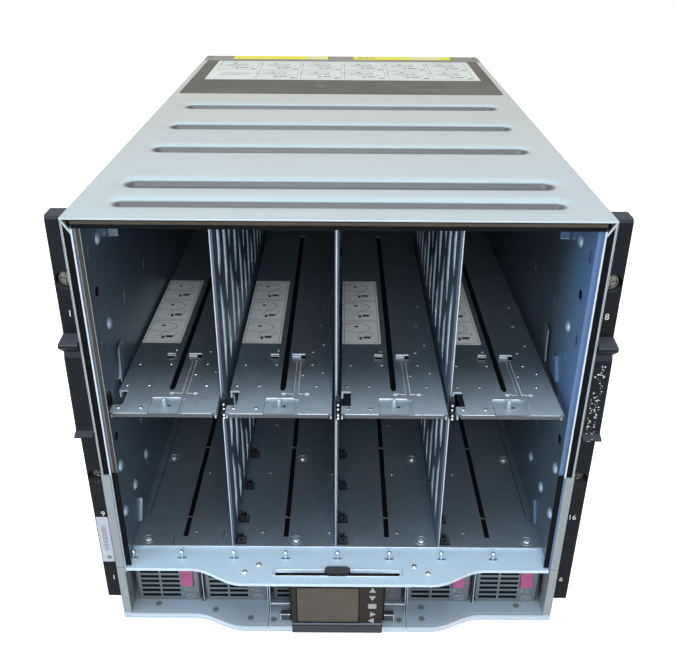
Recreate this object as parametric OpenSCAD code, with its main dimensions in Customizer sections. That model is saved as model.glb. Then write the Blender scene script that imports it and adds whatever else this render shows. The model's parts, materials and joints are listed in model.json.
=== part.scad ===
// Blade server enclosure: a deep sheet-metal box for a 19-inch rack.
// Blade bays fill the upper front, power supplies and a small display the lower
// front, and fans, interconnect bays, managers and power inlets the rear.
// X runs to the right, Y to the rear, Z up.  Millimetres.

/* [Enclosure] */
// Width of the sheet-metal enclosure
body_w = 447; // [440:0.5:450]
// Height of the enclosure
body_h = 442; // [436:1:450]
// Depth from the front plane to the rear edge of the top
body_d = 802; // [780:1:830]
// Thickness of the outer sheet metal
sheet = 1.6; // [1.2:0.1:2]
// Depth of the strip behind the top cover
strip_d = 47; // [35:1:60]
// Clearance between pieces that move past each other
run_gap = 0.4; // [0.3:0.05:0.6]

/* [Top cover beads] */
// Half width of the steep trough of a wide bead
bead_half = 8.5; // [6:0.5:10]
// Half width of the steep trough of the front bead
bead_front_half = 5.75; // [4:0.25:7]
// Width of the gentle shoulder beside a trough
bead_shoulder = 15; // [8:1:18]
// Depth of the trough below the cover
bead_depth = 5.5; // [4:0.5:7]
// Length of a bead between the centres of its ends
bead_len = 366; // [300:1:380]

/* [Rack ears] */
// Width of each rack ear beside the enclosure
ear_w = 17.8; // [17.6:0.05:18]
// Distance of a rack screw from the outer edge of its ear
screw_inset = 8.75; // [8.5:0.05:9]
// Height of the lower rack screw
screw_low_z = 177; // [150:1:200]
// Vertical distance between the two rack screws of one ear
screw_rise = 204; // [180:1:220]
// Distance of the rack flange behind the front plane
flange_y = 34.5; // [33:0.5:38]
// Thickness of the rack flange
flange_t = 2.5; // [2:0.1:3]
// Radius of the rack screw's shank
screw_r = 3; // [2.5:0.1:3.2]
// Distance of the bezel's upper face behind the front plane
bezel_face_y = 16; // [14:0.5:18]
// Forward reach of the bezel's grip ledges before its upper face
grip_reach = 20; // [15:1:22]
// Height of the upper grip ledge
grip_high_z = 327; // [315:1:335]
// Height of the lower grip ledge
grip_low_z = 232; // [225:1:245]

/* [Blade bays] */
// Gap between the outer skin and the cage wall
wall_gap = 7.5; // [6.5:0.5:8]
// Height of the blade deck's front lip
deck_z = 70; // [69:0.5:74]
// Height of the cage roof's underside
roof_z = 433; // [428:1:434]
// Distance of the divider plates behind the front plane
divider_y = 33; // [30:1:40]
// Thickness of a folded divider plate
divider_t = 3; // [2.5:0.1:3.5]
// Distance of the midplane behind the front plane
midplane_y = 530; // [510:1:545]
// Thickness of the midplane board
midplane_t = 6; // [4:0.5:7]
// Forward reach of the deck's curved lip
deck_wave = 20.5; // [16:0.5:24]
// Half width of the flat middle of the curved lips
wave_in = 95; // [85:1:100]
// Half width at which the curved lips meet the straight ends
wave_out = 150; // [140:1:160]

/* [Bay shelves] */
// Height of a shelf's top
shelf_z = 251; // [240:1:262]
// Gap beside a shelf's right edge
shelf_gap = 2.5; // [1.5:0.1:4]
// Distance of the shelf's front edge behind the front plane
shelf_y = 10; // [8:0.5:14]
// Depth of a shelf
shelf_d = 480; // [440:5:490]
// Travel of a shelf towards the midplane when it is unlocked
shelf_travel = 12; // [6:1:15]
// Width of the guide slot along a shelf
shelf_slot_w = 5.8; // [4:0.2:8]
// How far the guide slot lies right of a shelf's middle
shelf_slot_x = 1.2; // [0:0.2:3]
// Width of the locking tab
lock_w = 27.5; // [24:0.5:30]
// Sideways travel of the locking tab
lock_travel = 3.5; // [2:0.5:4]
// Diameter of a blade locating pin
pin_d = 4.4; // [3.5:0.1:5]
// Height of a blade locating pin above its sheet
pin_h = 8.5; // [6:0.5:10]

/* [Power supplies] */
// Height of the supply bays' floor
floor_z = 7; // [6:0.5:8]
// Distance of the supply faces behind the front plane
supply_y = 20; // [18:0.5:24]
// Gap between neighbouring power supplies
supply_gap = 5.6; // [5:0.1:8]
// Height of a power supply
supply_h = 57; // [54:0.5:58]
// Depth of a power supply
supply_d = 620; // [580:5:640]
// Forward reach of the lower curved lip
base_wave = 17; // [12:0.5:18]
// Width of a supply's release latch
latch_w = 12; // [10:0.5:13]

/* [Display] */
// Width of the display housing
display_w = 92; // [86:0.5:94]
// Depth of the display housing
display_t = 10; // [9:0.5:11]
// Width of the screen
screen_w = 62; // [58:0.5:64]
// Height of the screen
screen_h = 47; // [42:0.5:48]
// Sideways travel of the display each way
display_travel = 48; // [30:1:48]
// Half width of the slide knob
knob_half = 13; // [10:0.5:14]
// Inward travel of a key
key_travel = 1; // [0.6:0.1:1.2]

/* [Rear] */
// Outer size of a fan frame
fan_size = 86; // [82:0.5:87]
// Radius of a fan's air duct
duct_r = 39; // [36:0.5:40]
// Radius of a fan's blades
blade_r = 37.5; // [34:0.5:38]
// Number of blades on a rotor
blade_count = 7; // [5:1:9]
// Radius of a rotor's shaft
shaft_r = 2.5; // [2:0.1:3]
// Rearward reach of the finger grips
grip_proud = 6; // [4:0.5:8]

/* [Hidden] */
$fn = 48;
nudge = 1;                                  // how far a cutter runs past a face
wall_x = body_w/2 - wall_gap;               // outer face of the cage wall
bay_x = wall_x - sheet;                     // inner face of the cage wall
cover_d = body_d - strip_d;
rear_y = body_d - 2;                        // plane of the rear modules' faces
foot_proud = 1.5;                           // display's foot before the deck lip
front_reach = deck_wave + foot_proud;
front_y = -(rear_y + grip_proud - front_reach)/2;
deck_top = deck_z + 2;                      // blade floor behind the lip
crease_y = divider_y - 2;
// front posts and rack ears
post_proud = 0.6;                           // how far a corner post stands outside the skin
post_top = 187;
front_d = supply_y - sheet;                 // depth of the apron and the corner posts
rack_w = body_w + 2*ear_w;                  // width over both ears
screw_span = rack_w - 2*screw_inset;
ear_gap = post_proud + 0.3;
ear_low = 17;
ear_top = body_h - 3.5;
head_h = 7;                                 // rack screw's head
head_y = bezel_face_y + 5;
neck_r = screw_r - 0.4;                     // relieved shank, from the head to behind the flange
thread_y = flange_y + flange_t + 1;
thread_l = 13;
// blade zones and shelves
zone_pitch = bay_x/2 - 0.2;
zone_shift = 2;                             // the dividers stand left of the quarter lines
zone_gap_left = 3.5;
shelf_w = zone_pitch - divider_t - zone_gap_left - shelf_gap;
shelf_t = 2;
shelf_flange = 8;
ledge_t = 1.6;
lock_d = 25.5;
lock_t = 1.1;
blade_pin_y = 17;
shelf_pin_y = shelf_y + 12.5;
// power supplies
supply_pitch = (wall_x - 1)/3;
supply_w = supply_pitch - supply_gap;
supply_z = floor_z + run_gap;
supply_roof = deck_z - sheet;
latch_x = supply_w/2 - latch_w/2 - 6.7;     // latch, right of the supply's centre
latch_low = floor_z + 19;
latch_top = supply_z + supply_h - 4;
latch_pin_r = 1.5;
latch_pin_drop = 3.5;                       // pivot below the top of the latch
// display
slot_y = -8.2;                              // front edge of the display's slide slot
slot_w = 4.8;
slot_half = 63.5;
tilt_y = -deck_wave + 6.5;                  // the display's tilt axis
tilt_z = 58;
tilt_pin_r = 1.5;
display_front = -deck_wave + 1.2;
display_top = supply_roof - 2.4;
face_low = 14;                              // lower edge of the display's face
key_x = 35.5;
key_well = 5;
screen_x = -9.5;
screen_z = 39.5;
// rear
side_t = 1.2;                               // rear cage's side plates
inlet_top = 52;                             // underside of the plate over the inlets
fan_low_z = inlet_top + sheet + 0.4;
manager_z = fan_low_z + fan_size + 1.2 + sheet;
manager_h = 38;
switch_z = manager_z + manager_h + sheet + 1.4;
switch_rows = 4;
fan_high_z = body_h - sheet - fan_size - 1;
switch_h = (fan_high_z - sheet - 1 - switch_z)/switch_rows;
cage_rear_y = midplane_y + 30;
cage_low_y = supply_y + supply_d + 6;
fan_t = 38;
fit_r = 0.05;                               // radial clearance of a turning pin

// ---------- helpers ----------

// Puts a piece drawn from the front plane into the part's own frame
module place() translate([0, front_y, 0]) children();

// Box from its low corner to its high corner
module span(low, high) translate(low) cube(high - low);

// Turns an outline drawn in Y and Z into a plate from x to x + w
module across(x, w) translate([x, 0, 0]) rotate([90, 0, 90]) linear_extrude(w) children();

// Turns an outline drawn in X and Z into a plate from y back to y + d
module back(y, d) translate([0, y + d, 0]) rotate([90, 0, 0]) linear_extrude(d) children();

// Flat slot outline of overall length l and width w along X, centred
module slot2d(l, w) {
    square([l - w, w], center = true);
    for (s = [-1, 1]) translate([s*(l - w)/2, 0]) circle(d = w);
}

// Points of a curved lip: flat ends, an S-curve each side and a forward middle
function lip_y(x, reach) = abs(x) >= wave_out ? 0
    : abs(x) <= wave_in ? -reach
    : -reach*(1 + cos(180*(abs(x) - wave_in)/(wave_out - wave_in)))/2;
function lip_points(x0, x1, reach, inset = 0) =
    let (n = 14, s = (wave_out - wave_in)/n,
         xs = concat([for (i = [0:n]) -wave_out + i*s], [for (i = [0:n]) wave_in + i*s]),
         inner = [for (x = xs) if (x > x0 && x < x1) x])
    [for (x = concat([x0], inner, [x1])) [x, lip_y(x, reach) + inset]];

// Area between a curved lip and a straight rear edge
module lip_area(x0, x1, reach, rear, inset = 0)
    polygon(concat(lip_points(x0, x1, reach, inset), [[x1, rear], [x0, rear]]));

// Left edge of a blade zone's clear width, zone 0 at the left
function divider_x(k) = (k - 2)*zone_pitch - zone_shift;
function zone_left(k) = k == 0 ? -bay_x : divider_x(k) + divider_t/2;
function zone_right(k) = k == 3 ? bay_x : divider_x(k + 1) - divider_t/2;
function shelf_x(k) = zone_left(k) + zone_gap_left + shelf_w/2;
function supply_x(i) = (i - 2.5)*supply_pitch;
function fan_x(i) = (i - 2)*(body_w - 2*sheet)/5;

// ---------- enclosure ----------

module base_pan() color("#8f9699") place() {
    w = body_w/2 - sheet;
    span([-w, front_d, floor_z - sheet], [w, body_d, floor_z]);
    // skirts that carry the floor, open below between them
    skirt = 14;
    for (s = [0, 1]) mirror([s, 0, 0]) span([-w, front_d, 0], [-w + skirt, body_d, floor_z - sheet]);
    span([-w, body_d - skirt, 0], [w, body_d, floor_z - sheet]);
    for (i = [-2:2]) translate([i*supply_pitch, 0, 0])
        span([-skirt/2, front_d, 0], [skirt/2, body_d - skirt, floor_z - sheet]);
}

// Left outer skin with its rack flange; the right one is its mirror image
module side_skin() {
    difference() {
        union() {
            span([-body_w/2, 0, post_top], [-body_w/2 + sheet, body_d, body_h - sheet]);
            span([-body_w/2, front_d, 0], [-body_w/2 + sheet, body_d, post_top]);
            // rack flange
            span([-rack_w/2, flange_y, ear_low], [-body_w/2, flange_y + flange_t, ear_top - 2]);
            span([-body_w/2 - 1.2, flange_y, ear_low],
                 [-body_w/2, flange_y + 60, ear_top - 2]);
        }
        for (z = [screw_low_z, screw_low_z + screw_rise])
            translate([-screw_span/2, flange_y - nudge, z]) rotate([-90, 0, 0])
                cylinder(r = screw_r + fit_r, h = flange_t + 2*nudge);
    }
    // folded return that closes the channel at the top
    back(0.2, sheet) polygon([[-body_w/2 + sheet, body_h - sheet], [-body_w/2 + sheet, body_h - 4.5],
        [-wall_x, roof_z - 5], [-wall_x, roof_z - 2]]);
}
module side_panel_left() color("#a9b3b7") place() side_skin();
module side_panel_right() color("#a9b3b7") place() mirror([1, 0, 0]) side_skin();

// Inner liner: two side walls and a roof, with a front flange and stiff channels
module blade_cage() color("#6d787d") place() {
    lip = 6;
    for (s = [0, 1]) mirror([s, 0, 0]) difference() {
        union() {
            span([-wall_x, 0.6, deck_z - 6], [-bay_x, midplane_y, roof_z + sheet]);
            // front flange turned into the bay, and a web out to the skin
            span([-wall_x, 4, deck_z], [-bay_x + lip - sheet, 4 + sheet, roof_z]);
            span([-body_w/2 + sheet, 28, post_top], [-wall_x, 28 + sheet, roof_z - 6]);
            // pressed guides above the deck and above the shelf
            for (z = [deck_top + 3, shelf_z + 3])
                across(-bay_x, 2.4) polygon([[66, z], [90, z], [84, z + 22], [78, z + 22]]);
        }
        // long oval windows in the wall
        for (z = [deck_top + 46, deck_top + 100, shelf_z + 67, roof_z - 33], y = [30, 118, 206])
            translate([-wall_x - nudge, y, z]) rotate([90, 0, 90])
                linear_extrude(sheet + 2*nudge) rotate(90) slot2d(13, 5);
    }
    span([-wall_x, 0.6, roof_z], [wall_x, midplane_y, roof_z + sheet]);
    // roof flange below the cover's front edge, and ribs that carry the cover
    span([-wall_x, 4, roof_z + sheet], [wall_x, 4 + sheet, body_h - sheet - 0.6]);
    for (y = [148, 262, 364, 460]) span([-wall_x, y, roof_z + sheet],
                                        [wall_x, y + 8, body_h - sheet]);
}

// Cross-section of one half of a bead, grown by t all round
function bead_half_section(half, t) = [[0, t], [half + bead_shoulder + t, t],
    [half + bead_shoulder + t*0.6, -t*0.6], [half + t, -2 - t], [half - 3 + t, -bead_depth - t],
    [0, -bead_depth - t]];
module bead_solid(half, t) {
    p = bead_half_section(half, t);
    translate([-bead_len/2, 0, 0]) rotate([90, 0, 90]) linear_extrude(bead_len)
        polygon(concat(p, [for (i = [len(p) - 2:-1:1]) [-p[i][0], p[i][1]]]));
    for (s = [0, 1]) mirror([s, 0, 0]) translate([bead_len/2, 0, 0]) rotate(-90)
        rotate_extrude(angle = 180, $fn = 64) polygon(p);
}

bead_y = [95, 214, 312, 416];
module top_cover() color("#c9d4d7") place() {
    difference() {
        union() {
            span([-body_w/2, 0, body_h - sheet], [body_w/2, cover_d, body_h]);
            intersection() {
                for (b = concat([[40, bead_front_half]], [for (y = bead_y) [y, bead_half]]))
                    translate([0, b[0], body_h]) bead_solid(b[1], sheet);
                span([-body_w, -body_d, 0], [body_w, 2*body_d, body_h]);
            }
            // side flanges inside the skins, ending before the rear cage
            for (s = [0, 1]) mirror([s, 0, 0]) span([-body_w/2 + sheet, 6, body_h - 11],
                [-body_w/2 + 2*sheet, cage_rear_y - 2, body_h - sheet]);
        }
        for (b = concat([[40, bead_front_half]], [for (y = bead_y) [y, bead_half]]))
            translate([0, b[0], body_h]) bead_solid(b[1], 0);
    }
}

// ---------- front ----------

// Lower front: two silver corner posts with their apron, and a middle apron
module apron(x0, x1) {
    difference() {
        linear_extrude(floor_z) lip_area(x0, x1, base_wave, front_d);
        // open below, so only the lip, the top sheet and the ends remain
        translate([0, 0, -nudge]) linear_extrude(floor_z - sheet + nudge)
            lip_area(x0 + 3, x1 - 3, base_wave, front_d + nudge, 5);
    }
}
module corner_post() {
    outer = -body_w/2 - post_proud;
    inner = -wall_x - 0.1;
    difference() {
        span([outer, 0, 0], [inner, front_d, post_top]);
        // the post is a folded channel, open to the rear
        span([outer + 2, 2, floor_z], [inner - 1.6, front_d + nudge, post_top - 2]);
        // seam between its upper and lower part
        span([outer - nudge, -nudge, deck_z + 0.6], [inner + nudge, 0.6, deck_z + 1.2]);
    }
}
module front_frame() color("#a7a9ab") place() {
    seam = 0.3;
    for (s = [0, 1]) mirror([s, 0, 0]) {
        corner_post();
        apron(-wall_x - 1, -supply_pitch - seam);
    }
    apron(-supply_pitch + seam, supply_pitch - seam);
}

module blade_deck() color("#8fa3ad") place() {
    difference() {
        union() {
            // curved front lip with a rolled edge
            translate([0, 0, deck_z - sheet]) linear_extrude(sheet)
                lip_area(-bay_x, bay_x, deck_wave, divider_y);
            translate([0, 0, deck_z - 3.4]) linear_extrude(3.4) difference() {
                lip_area(-bay_x, bay_x, deck_wave, 1);
                lip_area(-bay_x - 1, bay_x + 1, deck_wave, 2, 2.4);
            }
            // blade floor, one step above the lip
            span([-bay_x, crease_y, deck_top - sheet], [bay_x, midplane_y, deck_top]);
            span([-bay_x, crease_y, deck_z - sheet], [bay_x, divider_y, deck_top]);
            // raised rim of the slide slot
            translate([0, slot_y + slot_w/2, deck_z]) linear_extrude(0.9)
                slot2d(2*slot_half + 4.4, slot_w + 4.4);
        }
        // slide slot of the display knob
        translate([0, slot_y + slot_w/2, deck_z - 4]) linear_extrude(6)
            slot2d(2*slot_half, slot_w);
        // cut-outs round the locating pins
        for (k = [-4:3]) translate([pin_x(k), blade_pin_y, deck_z - 4])
            linear_extrude(6) slot2d(10.5, pin_d + 1.2);
        // one guide slot per zone, with short bridges
        for (k = [0:3], y = [[46, 78], [83, 209], [214, 350], [355, 500]])
            span([shelf_x(k) - 2.7, y[0], deck_z - 4], [shelf_x(k) + 2.7, y[1], deck_top + nudge]);
    }
}
function pin_x(k) = k == -4 ? -bay_x + 4 : k*zone_pitch/2;

// Locating pins, each riveted to a strip under its sheet
module pin_on(z, below) {
    translate([0, 0, z - below]) cylinder(d = pin_d, h = below + pin_h - 1.4);
    translate([0, 0, z + pin_h - 1.4]) cylinder(d1 = pin_d, d2 = pin_d - 2, h = 1.4);
}
module blade_pins() color("#c8ccce") place() for (k = [-4:3])
    translate([pin_x(k), blade_pin_y, 0]) {
        pin_on(deck_z, sheet + 0.5);
        span([k == -4 ? -3.8 : -8, -5, deck_z - sheet - 1.2], [8, 5, deck_z - sheet]);
    }

// ---------- blade zones ----------

// Air slot with one straight and one bowed edge
module air_slot2d(w, h) polygon([[0, 0], [0, h], [w*0.35, h], [w, h*0.68], [w, h*0.3], [w*0.35, 0]]);

module zone_divider(k) {
    x = divider_x(k);
    difference() {
        span([x - divider_t/2, divider_y, deck_top], [x + divider_t/2, midplane_y, roof_z]);
        for (band = [[deck_top + 14, shelf_z - 24], [shelf_z + 12, roof_z - 10]], i = [0:12]) {
            rise = band[1] - band[0];
            long = rise*0.6;
            bridge = 9;
            y = divider_y + 22 + i*35;
            lows = i % 2 == 0 ? [0, long + bridge] : [0, rise - long];
            highs = i % 2 == 0 ? [long, rise] : [rise - long - bridge, rise];
            for (j = [0, 1]) translate([0, y, band[0] + lows[j]])
                across(x - divider_t, 2*divider_t) air_slot2d(15, highs[j] - lows[j]);
        }
    }
}
module zone_divider_1() color("#7e8a90") place() zone_divider(1);
module zone_divider_2() color("#7e8a90") place() zone_divider(2);
module zone_divider_3() color("#7e8a90") place() zone_divider(3);

// Three pairs of small ledges in each zone, fixed to its walls under the shelf's edges
module shelf_ledges() color("#7a868c") place() {
    hold = 5;
    z = shelf_z - shelf_flange - run_gap;
    for (k = [0:3], y = [60, 240, 420]) {
        span([zone_left(k), y, z - ledge_t], [shelf_x(k) - shelf_w/2 + hold, y + 26, z]);
        span([shelf_x(k) + shelf_w/2 - hold, y, z - ledge_t], [zone_right(k), y + 26, z]);
    }
}

// Black foot clips on the right of each divider
clip_y = [39, 73, 130, 191];
module divider_clips() color("#1d2124") place() for (k = [1:3], y = clip_y) {
    x = divider_x(k) + divider_t/2;
    difference() {
        union() {
            span([x, y - 5, deck_top], [x + 11, y + 5, deck_top + 3]);
            span([x, y - 5, deck_top], [x + 2.2, y + 5, deck_top + 9]);
            span([x + 2.2, y + 2.6, deck_top + 3], [x + 8, y + 5, deck_top + 7]);
        }
        translate([x + 6.2, y - 1.5, deck_top - nudge]) cylinder(r = 1.6, h = 5);
    }
}

module bay_shelf(k) {
    cx = shelf_x(k);
    w = shelf_w/2;
    slot_x = cx + shelf_slot_x;
    difference() {
        union() {
            span([cx - w, shelf_y, shelf_z - shelf_t], [cx + w, shelf_y + shelf_d, shelf_z]);
            for (s = [-1, 1]) span([cx + (s < 0 ? -w : w - sheet), shelf_y + 4, shelf_z - shelf_flange],
                [cx + (s < 0 ? -w + sheet : w), shelf_y + shelf_d - 4, shelf_z - shelf_t]);
            span([cx - w + 3, shelf_y, shelf_z - 4.5], [cx + w - 3, shelf_y + sheet, shelf_z - shelf_t]);
            // stop tabs pressed up at the end of the lock's track
            for (x = [[-15.2, -7.2], [7, 20]])
                span([cx + x[0], 118, shelf_z], [cx + x[1], 119.4, shelf_z + 3]);
        }
        // guide slot with a tapered front end
        hull() for (end = [[0.5, 51], [1, 56]])
            span([slot_x - end[0]*shelf_slot_w/2, end[1], shelf_z - shelf_t - nudge],
                 [slot_x + end[0]*shelf_slot_w/2, shelf_y + shelf_d - 20, shelf_z + nudge]);
        // pocket of the locking tab, with room for its travel
        span([cx - lock_w/2 - run_gap, shelf_y - nudge, shelf_z - lock_t - run_gap],
             [cx + lock_w/2 + run_gap + lock_travel, shelf_y + lock_d + run_gap, shelf_z + nudge]);
        // notch beside the left corner catch
        span([cx - w - nudge, 24, shelf_z - 20], [cx - w + 9, 50, shelf_z + nudge]);
    }
    translate([cx, shelf_pin_y, 0]) pin_on(shelf_z, shelf_t);
}
module bay_shelf_1() color("#87979f") place() bay_shelf(0);
module bay_shelf_2() color("#87979f") place() bay_shelf(1);
module bay_shelf_3() color("#87979f") place() bay_shelf(2);
module bay_shelf_4() color("#87979f") place() bay_shelf(3);

module shelf_lock(k) {
    cx = shelf_x(k);
    reach = pin_d/2 + run_gap;
    difference() {
        union() {
            span([cx - lock_w/2, shelf_y, shelf_z - lock_t], [cx + lock_w/2, shelf_y + lock_d, shelf_z]);
            span([cx - lock_w/2, shelf_y + lock_d - 1.4, shelf_z - lock_t],
                 [cx + lock_w/2, shelf_y + lock_d, shelf_z + 1.8]);
        }
        // the tab slides sideways past the shelf's pin
        translate([cx - lock_travel/2, shelf_pin_y, shelf_z - 4]) linear_extrude(6)
            slot2d(2*reach + lock_travel, 2*reach);
    }
}
module shelf_lock_1() color("#93a3ab") place() shelf_lock(0);
module shelf_lock_2() color("#93a3ab") place() shelf_lock(1);
module shelf_lock_3() color("#93a3ab") place() shelf_lock(2);
module shelf_lock_4() color("#93a3ab") place() shelf_lock(3);

// Signal board between the bays and the rear, with two connectors per half-height bay
module midplane() color("#2c4a34") place() {
    levels = [deck_top + 20, shelf_z + 20];
    difference() {
        span([-bay_x, midplane_y, supply_roof], [bay_x, midplane_y + midplane_t, roof_z + sheet]);
        // windows for the air on its way to the fans
        for (k = [0:3], z = levels, i = [0:1]) translate([shelf_x(k) - 38, 0, z + i*70])
            span([0, midplane_y - nudge, 0], [20, midplane_y + midplane_t + nudge, 40]);
    }
    for (k = [0:3], z = levels, i = [0:1]) translate([shelf_x(k) + 2 + i*22, midplane_y, z + 4])
        across(0, 16) polygon([[0, 0], [-12, 0], [-14, 2], [-14, 42], [-12, 44], [0, 44]]);
}

// ---------- power supplies ----------

// Walls between the supply bays; the pair beside the display reaches the front
module supply_walls() color("#8a949a") place() {
    wall_t = 1.2;
    for (i = [-2:2]) translate([i*supply_pitch, 0, 0]) {
        y0 = abs(i) == 1 ? 3 : i == 0 ? supply_y + 3 : supply_y - 3;
        span([-wall_t/2, y0, floor_z], [wall_t/2, supply_y + supply_d, supply_roof]);
        // folded front edge
        span([-wall_t/2, y0, floor_z], [wall_t/2 + 1.1, y0 + wall_t, supply_roof]);
    }
    // cross rod behind the display
    translate([-supply_pitch, 5, 17]) rotate([0, 90, 0]) cylinder(d = 3, h = 2*supply_pitch);
}

grille_gap = 2.7;
function grille_w() = (supply_w/2 + latch_x - latch_w/2 - 2*run_gap - 4.8 - grille_gap - 1.7)/2;
function grille_x(c) = -supply_w/2 + 4.8 + c*(grille_w() + grille_gap);
module power_supply(i) {
    low = [supply_x(i) - supply_w/2, supply_y, supply_z];
    high = [supply_x(i) + supply_w/2, supply_y + supply_d, supply_z + supply_h];
    skin = 1.4;
    bezel = 12;
    difference() {
        span(low, high);
        // hollow case behind the moulded face
        span(low + [skin, bezel, skin], high - [skin, skin, skin]);
        // grille: two columns of slots through the face
        for (c = [0, 1], r = [0:floor((supply_h - 8)/6.5)]) {
            x = supply_x(i) + grille_x(c);
            z = low[2] + 4.4 + r*6.5;
            span([x, supply_y - nudge, z], [x + grille_w(), supply_y + bezel + nudge, z + 3.2]);
        }
        // pocket that the release latch turns into
        span([supply_x(i) + latch_x - latch_w/2 - run_gap, supply_y - nudge, latch_low - run_gap],
             [supply_x(i) + latch_x + latch_w/2 + run_gap, supply_y + 9, latch_top + run_gap]);
        // seats of the latch's pivot pins
        translate([supply_x(i) + latch_x, supply_y + 3, latch_top - latch_pin_drop])
            rotate([0, 90, 0]) cylinder(r = latch_pin_r + fit_r, h = latch_w + 6, center = true);
    }
}
module power_supply_1() color("#7b868b") place() power_supply(0);
module power_supply_2() color("#7b868b") place() power_supply(1);
module power_supply_3() color("#7b868b") place() power_supply(2);
module power_supply_4() color("#7b868b") place() power_supply(3);
module power_supply_5() color("#7b868b") place() power_supply(4);
module power_supply_6() color("#7b868b") place() power_supply(5);

// Release latch: a curved lever on two stub pins
module supply_latch(i) {
    translate([supply_x(i) + latch_x, supply_y + 3, latch_top - latch_pin_drop]) {
        drop = latch_top - latch_pin_drop - latch_low;
        rotate([0, 90, 0]) cylinder(r = 3, h = latch_w, center = true);
        rotate([0, 90, 0]) cylinder(r = latch_pin_r, h = latch_w + 4, center = true);
        across(-latch_w/2, latch_w)
            polygon([[-3, 0], [0, 2], [1.5, 0], [1, -drop + 3], [-0.5, -drop], [-3.5, -drop],
                     [-6, -drop + 2.5], [-6, -drop + 7], [-4, -drop + 12]]);
    }
}
module supply_latch_1() color("#c2528f") place() supply_latch(0);
module supply_latch_2() color("#c2528f") place() supply_latch(1);
module supply_latch_3() color("#c2528f") place() supply_latch(2);
module supply_latch_4() color("#c2528f") place() supply_latch(3);
module supply_latch_5() color("#c2528f") place() supply_latch(4);
module supply_latch_6() color("#c2528f") place() supply_latch(5);

// ---------- display ----------

// Carriage under the deck, with the knob that stands through the slide slot
module display_carriage() color("#1c1e21") place() {
    ear = display_w/2 + run_gap;
    plate_y = display_front + display_t + run_gap;
    knob_y = slot_y + slot_w/2;
    difference() {
        union() {
            // top plate, back plate and lower guide bar
            span([-ear - 2, plate_y, supply_roof - 3.4], [ear + 2, 1, supply_roof - 1.4]);
            span([-ear - 2, plate_y, floor_z + 3], [ear + 2, plate_y + 1.6, supply_roof - 1.4]);
            span([-ear - 12, plate_y, floor_z + 1], [ear + 12, plate_y + 6, floor_z + 9]);
            // ears beside the housing
            for (s = [-1, 1]) span([s > 0 ? ear : -ear - 2, tilt_y - 4, tilt_z - 5],
                                   [s > 0 ? ear + 2 : -ear, plate_y + 1, tilt_z + 5]);
            // stem and knob
            span([-knob_half + 3, knob_y - slot_w/2 + run_gap, supply_roof - 1.4],
                 [knob_half - 3, knob_y + slot_w/2 - run_gap, deck_z + 1.4]);
            translate([0, knob_y, deck_z + 0.9 + run_gap]) linear_extrude(3.6)
                slot2d(2*knob_half, 10.4);
        }
        for (s = [-1, 1]) translate([s*(ear + 1), tilt_y, tilt_z]) rotate([0, 90, 0])
            cylinder(r = tilt_pin_r + fit_r, h = 4, center = true);
    }
}

module display_housing() color("#46413a") place() {
    w = display_w/2;
    difference() {
        union() {
            // the back of the top is cut away so that it clears the carriage as it tilts
            across(-w, display_w) polygon([[display_front, face_low], [display_front, display_top - 1],
                [display_front + 1, display_top], [tilt_y - 1.6, display_top],
                [display_front + display_t, tilt_z], [display_front + display_t, face_low + 2],
                [display_front + display_t - 2, face_low]]);
            // foot that stands before the lower lip
            across(-w, display_w) polygon([[-front_reach, 4], [-front_reach, face_low - 1],
                [-front_reach + 1, face_low + 1], [display_front + 2, face_low + 1],
                [display_front + 2, face_low - 1], [-base_wave - run_gap, face_low - 3],
                [-base_wave - run_gap, 3.2], [-front_reach + 0.8, 3.2]]);
            for (s = [-1, 1]) translate([s*w, tilt_y, tilt_z]) rotate([0, 90, 0])
                cylinder(r = tilt_pin_r, h = 4, center = true);
        }
        // screen recess and key wells
        translate([screen_x - screen_w/2, display_front - nudge, screen_z - screen_h/2])
            cube([screen_w, nudge + 1.6, screen_h]);
        for (k = KEYS) key_at(k) key_shape(k[1], run_gap, nudge + key_well);
    }
}
module display_screen() color("#6f6658") place()
    translate([screen_x - screen_w/2, display_front + 0.5, screen_z - screen_h/2])
        cube([screen_w, 1.1, screen_h]);

// Keys: height and kind, 1 up, 2 down, 3 square, 4 right, 5 left
KEYS = [[60.3, 1], [51, 2], [39.2, 3], [28, 4], [19, 5]];
module key_at(k) translate([key_x, display_front - nudge, k[0]]) rotate([-90, 0, 0]) children();
module key_shape(kind, grow, h) {
    r = 3.9 + grow*1.6;
    if (kind == 3) translate([-4.2 - grow, -2.9 - grow, 0]) cube([8.4 + 2*grow, 5.8 + 2*grow, h]);
    else rotate([0, 0, kind == 1 ? -90 : kind == 2 ? 90 : kind == 4 ? 0 : 180])
        cylinder(r = r, h = h, $fn = 3);
}
key_proud = 0.7;
module key(i) color("#8d8f90") place() translate([0, nudge - key_proud, 0]) key_at(KEYS[i])
    key_shape(KEYS[i][1], 0, key_proud + key_well - key_travel - run_gap);
module key_up() key(0);
module key_down() key(1);
module key_ok() key(2);
module key_right() key(3);
module key_left() key(4);

// ---------- rack ears ----------

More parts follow.
